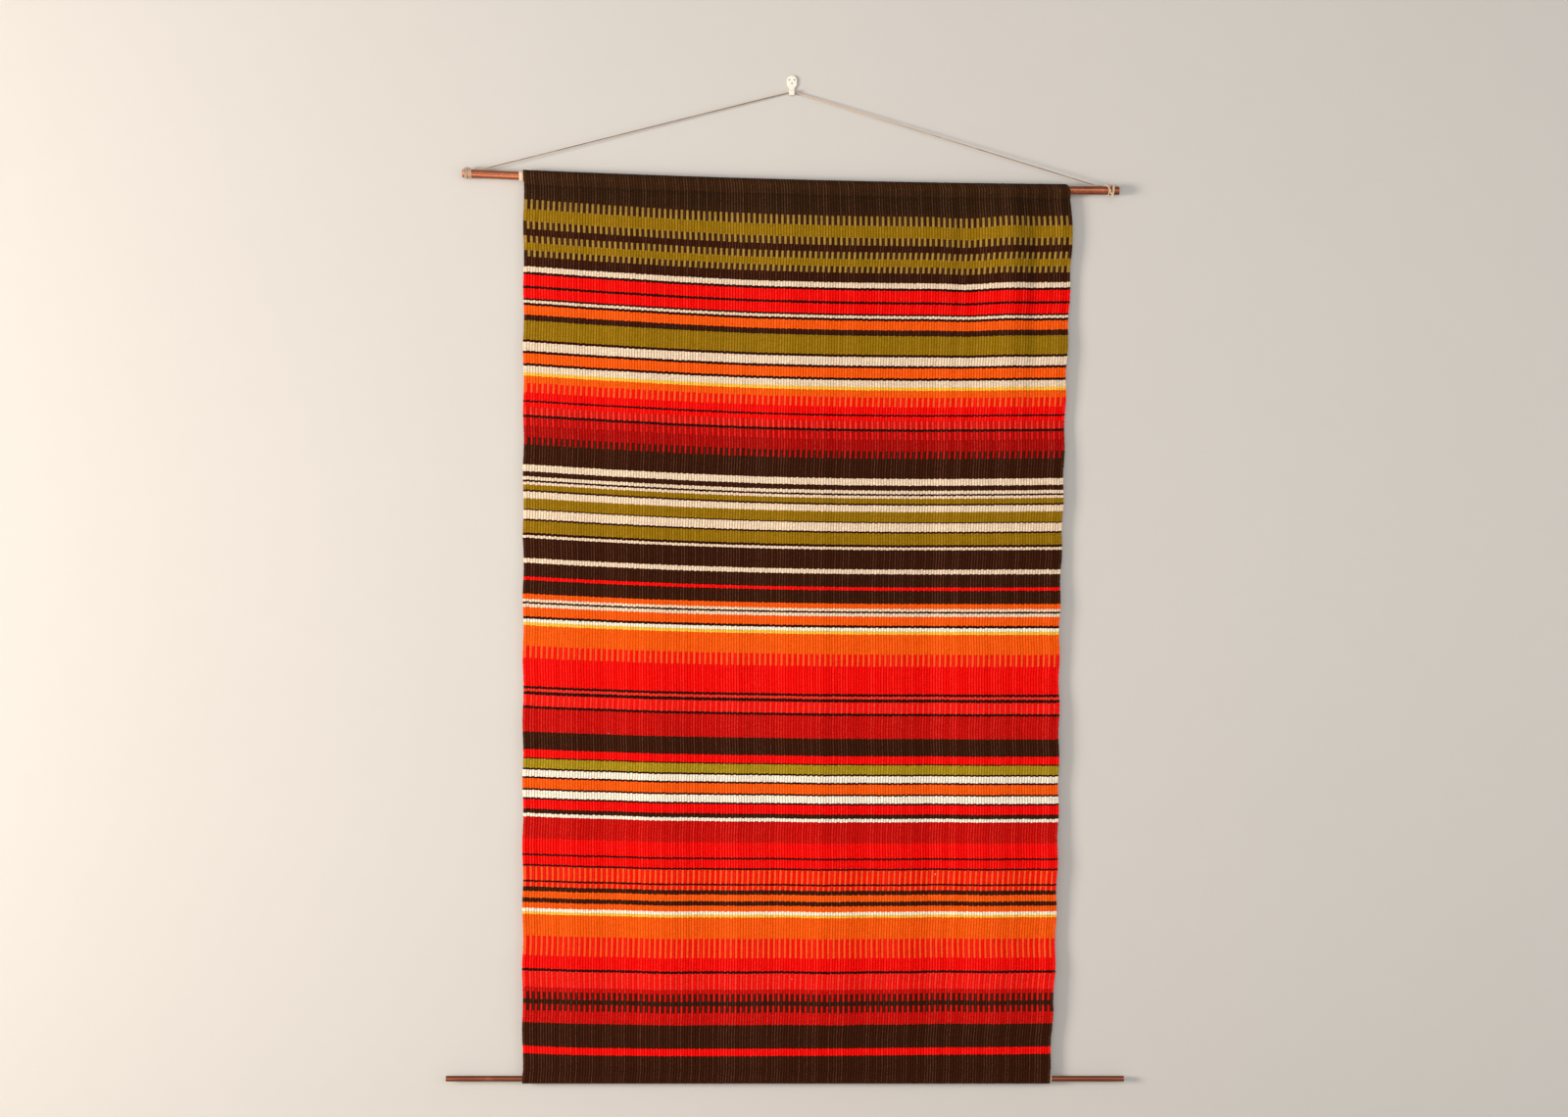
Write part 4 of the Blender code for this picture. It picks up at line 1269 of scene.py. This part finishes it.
def plasticMaterial():
    # moulded white plastic: faint texture, a little yellowing, rubbed glossier on the edges
    material, tree, shader = makeMaterial("white_plastic", Specular_IOR_Level=0.5)
    place = ownPlace(tree)
    grime = mapRange(tree, noise(tree, place, 120.0, 4.0), 0.45, 0.75, 0.0, 0.35)
    colour = mixColour(tree, grime, linear(hook["colour"]), linear(hook["grime"]))
    shaded = varied(tree, place, colour, 300.0, 0.03)
    rubbed = times(tree, wornEdges(tree, place, 600.0), 0.3)
    setLook(tree, shader, shaded["Colour"],
            (maths(tree, "SUBTRACT", shaded["Height"], rubbed), 0.1, 0.7, 0.22, 0.42),
            noise(tree, place, 2600.0, 2.0), hook["bump"])
    return material


def steelMaterial():
    # a dull steel pin, darker in patches and brighter on its edges
    material, tree, shader = makeMaterial("pin_steel", Metallic=1.0)
    place = ownPlace(tree)
    shaded = varied(tree, place, linear(pin["colour"]), 700.0, 0.3)
    worn = times(tree, wornEdges(tree, place, 900.0), 0.5)
    setLook(tree, shader, mixColour(tree, worn, shaded["Colour"], linear(pin["worn"])),
            (shaded["Height"], 0.3, 0.7, 0.28, 0.5), shaded["Height"], pin["bump"])
    return material


def squared(values):
    # a sine or cosine drawn out towards 1 and -1, for a section with round corners
    return np.sign(values) * np.abs(values) ** hook["squareness"]


def hookSurface():
    # A flattened round section carried down the plate, round under the trough and up to the lip's tip. Its
    # half thickness and half width change along the way, and its corners are round.
    halfBack, halfLip, halfFloor = hook["plateThick"] / 2, hook["lipThick"] / 2, hook["floorThick"] / 2
    troughY, troughZ = hook["trough"]
    plateRows, lipRows, lipWidth = hook["plateRows"], hook["lipRows"], hook["lipHalfWidth"]
    angle = np.linspace(0, math.pi, hook["bendRows"])
    ends = np.where(angle > math.pi / 2, halfLip, halfBack)
    halfTurn = ends + (halfFloor - ends) * np.sin(angle)
    radius = hook["troughRadius"] + halfTurn
    bendY = (troughY + radius * np.cos(angle))[1:]
    bendZ = (troughZ - radius * np.sin(angle))[1:]
    y = np.concatenate([np.full(plateRows, -halfBack), bendY, np.full(lipRows, bendY[-1])])
    z = np.concatenate([np.linspace(hook["top"], troughZ, plateRows), bendZ,
                        np.linspace(troughZ, hook["tip"], lipRows + 1)[1:]])
    halfThick = np.concatenate([np.full(plateRows, halfBack), halfTurn[1:], np.full(lipRows, halfLip)])
    fromTop = hook["top"] - z
    inCorner = np.clip(hook["corner"] - fromTop, 0, hook["corner"])
    cut = hook["corner"] - np.sqrt(hook["corner"] ** 2 - inCorner ** 2)
    narrow = smoothStep(*hook["narrowing"], fromTop)
    halfWide = (hook["plateHalfWidth"] - cut) * (1 - narrow) + lipWidth * narrow
    halfWide[plateRows:] = lipWidth
    # round tip: both half sizes shrink over the last rings
    close = np.linspace(0, math.pi / 2, hook["endRows"] + 1)[1:]
    y = np.concatenate([y, np.full(len(close), y[-1])])
    z = np.concatenate([z, z[-1] + halfLip * np.sin(close)])
    halfThick = np.concatenate([halfThick, np.maximum(halfLip * np.cos(close), 0.00005)])
    halfWide = np.concatenate([halfWide, lipWidth - halfLip * (1 - np.cos(close))])
    ahead = np.stack([np.gradient(y), np.gradient(z)], 1)
    ahead /= np.linalg.norm(ahead, axis=1)[:, None]
    turn = np.linspace(0, math.tau, hook["sides"] + 1)
    x = halfWide[:, None] * squared(np.cos(turn))
    out = halfThick[:, None] * squared(np.sin(turn))
    points = np.stack([x, y[:, None] + out * -ahead[:, 1:], z[:, None] + out * ahead[:, :1]], 2)
    uv = np.stack([x, np.broadcast_to(np.arange(len(z))[:, None] * 0.001, x.shape)], 2)
    return gridSurface(points[:, :-1], uv, ringCols=True, ends="fan")


print("hook")
plastic = plasticMaterial()
steel = steelMaterial()
hookPiece = makeObject("moulded_hook", hookSurface(), plastic, sharpAngle=50)
carry(hookPiece, "hook", "wall_hook")
for name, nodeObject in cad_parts.items():
    if name.startswith("hook_pin"):
        nodeObject.data.materials.clear()
        nodeObject.data.materials.append(steel)


# ---- the stage

def stagePlane(name, points, material):
    # a flat sheet of the stage through four corners, which isn't part of the object
    grid = np.array(points, float).reshape(2, 2, 3)[:, ::-1]
    uv = np.array([[[0, 0], [1, 0]], [[0, 1], [1, 1]]], float)
    made = makeObject(name, gridSurface(grid, uv), material, closed=False)
    return made


def plasterMaterial(name, colour, oneSided):
    # matt paint with a faint roller texture; one-sided paint can't be seen from behind
    material, tree, shader = makeMaterial(name, Roughness=0.9, Specular_IOR_Level=0.1)
    place = ownPlace(tree)
    setLook(tree, shader, varied(tree, place, linear(colour), 2.0, 0.015)["Colour"], None,
            noise(tree, place, 320.0, 2.0), 0.0002, 0.6)
    if oneSided:
        clear = addNode(tree, "BsdfTransparent")
        behind = addNode(tree, "NewGeometry").outputs["Backfacing"]
        mixed = addNode(tree, "MixShader", {0: behind, 1: shader.outputs[0], 2: clear.outputs[0]})
        tree.links.new(mixed.outputs[0], tree.nodes["Material Output"].inputs["Surface"])
    return material


def makeStage():
    # the wall just behind the hanging, the floor, four soft lamps and a dim even sky
    s = studio["stageSize"]
    floorZ = studio["floorHeight"]
    y = studio["wallGap"]
    wall = stagePlane("studio_wall", [(-s, y, floorZ), (s, y, floorZ), (-s, y, s), (s, y, s)],
                      plasterMaterial("wall_paint", studio["wallColour"], True))
    wall.visible_shadow = False
    wall.visible_diffuse = False
    wall.visible_glossy = False
    stagePlane("studio_floor", [(-s, -s, floorZ), (s, -s, floorZ), (-s, s, floorZ), (s, s, floorZ)],
               plasterMaterial("floor_paint", studio["floorColour"], False))
    for name, place, aim, size, watts, colour in studio["lights"]:
        light = bpy.data.lights.new(name, "AREA")
        light.size = size
        light.energy = watts
        light.color = colour
        made = bpy.data.objects.new(name, light)
        aimAt(made, place, aim)
        bpy.context.scene.collection.objects.link(made)
    world = bpy.data.worlds.new("soft_sky")
    world.use_nodes = True
    sky = world.node_tree.nodes["Background"]
    sky.inputs["Color"].default_value = (*studio["skyColour"], 1.0)
    sky.inputs["Strength"].default_value = studio["skyStrength"]
    bpy.context.scene.world = world
    bpy.context.scene.view_settings.view_transform = "Standard"


print("stage")
makeStage()
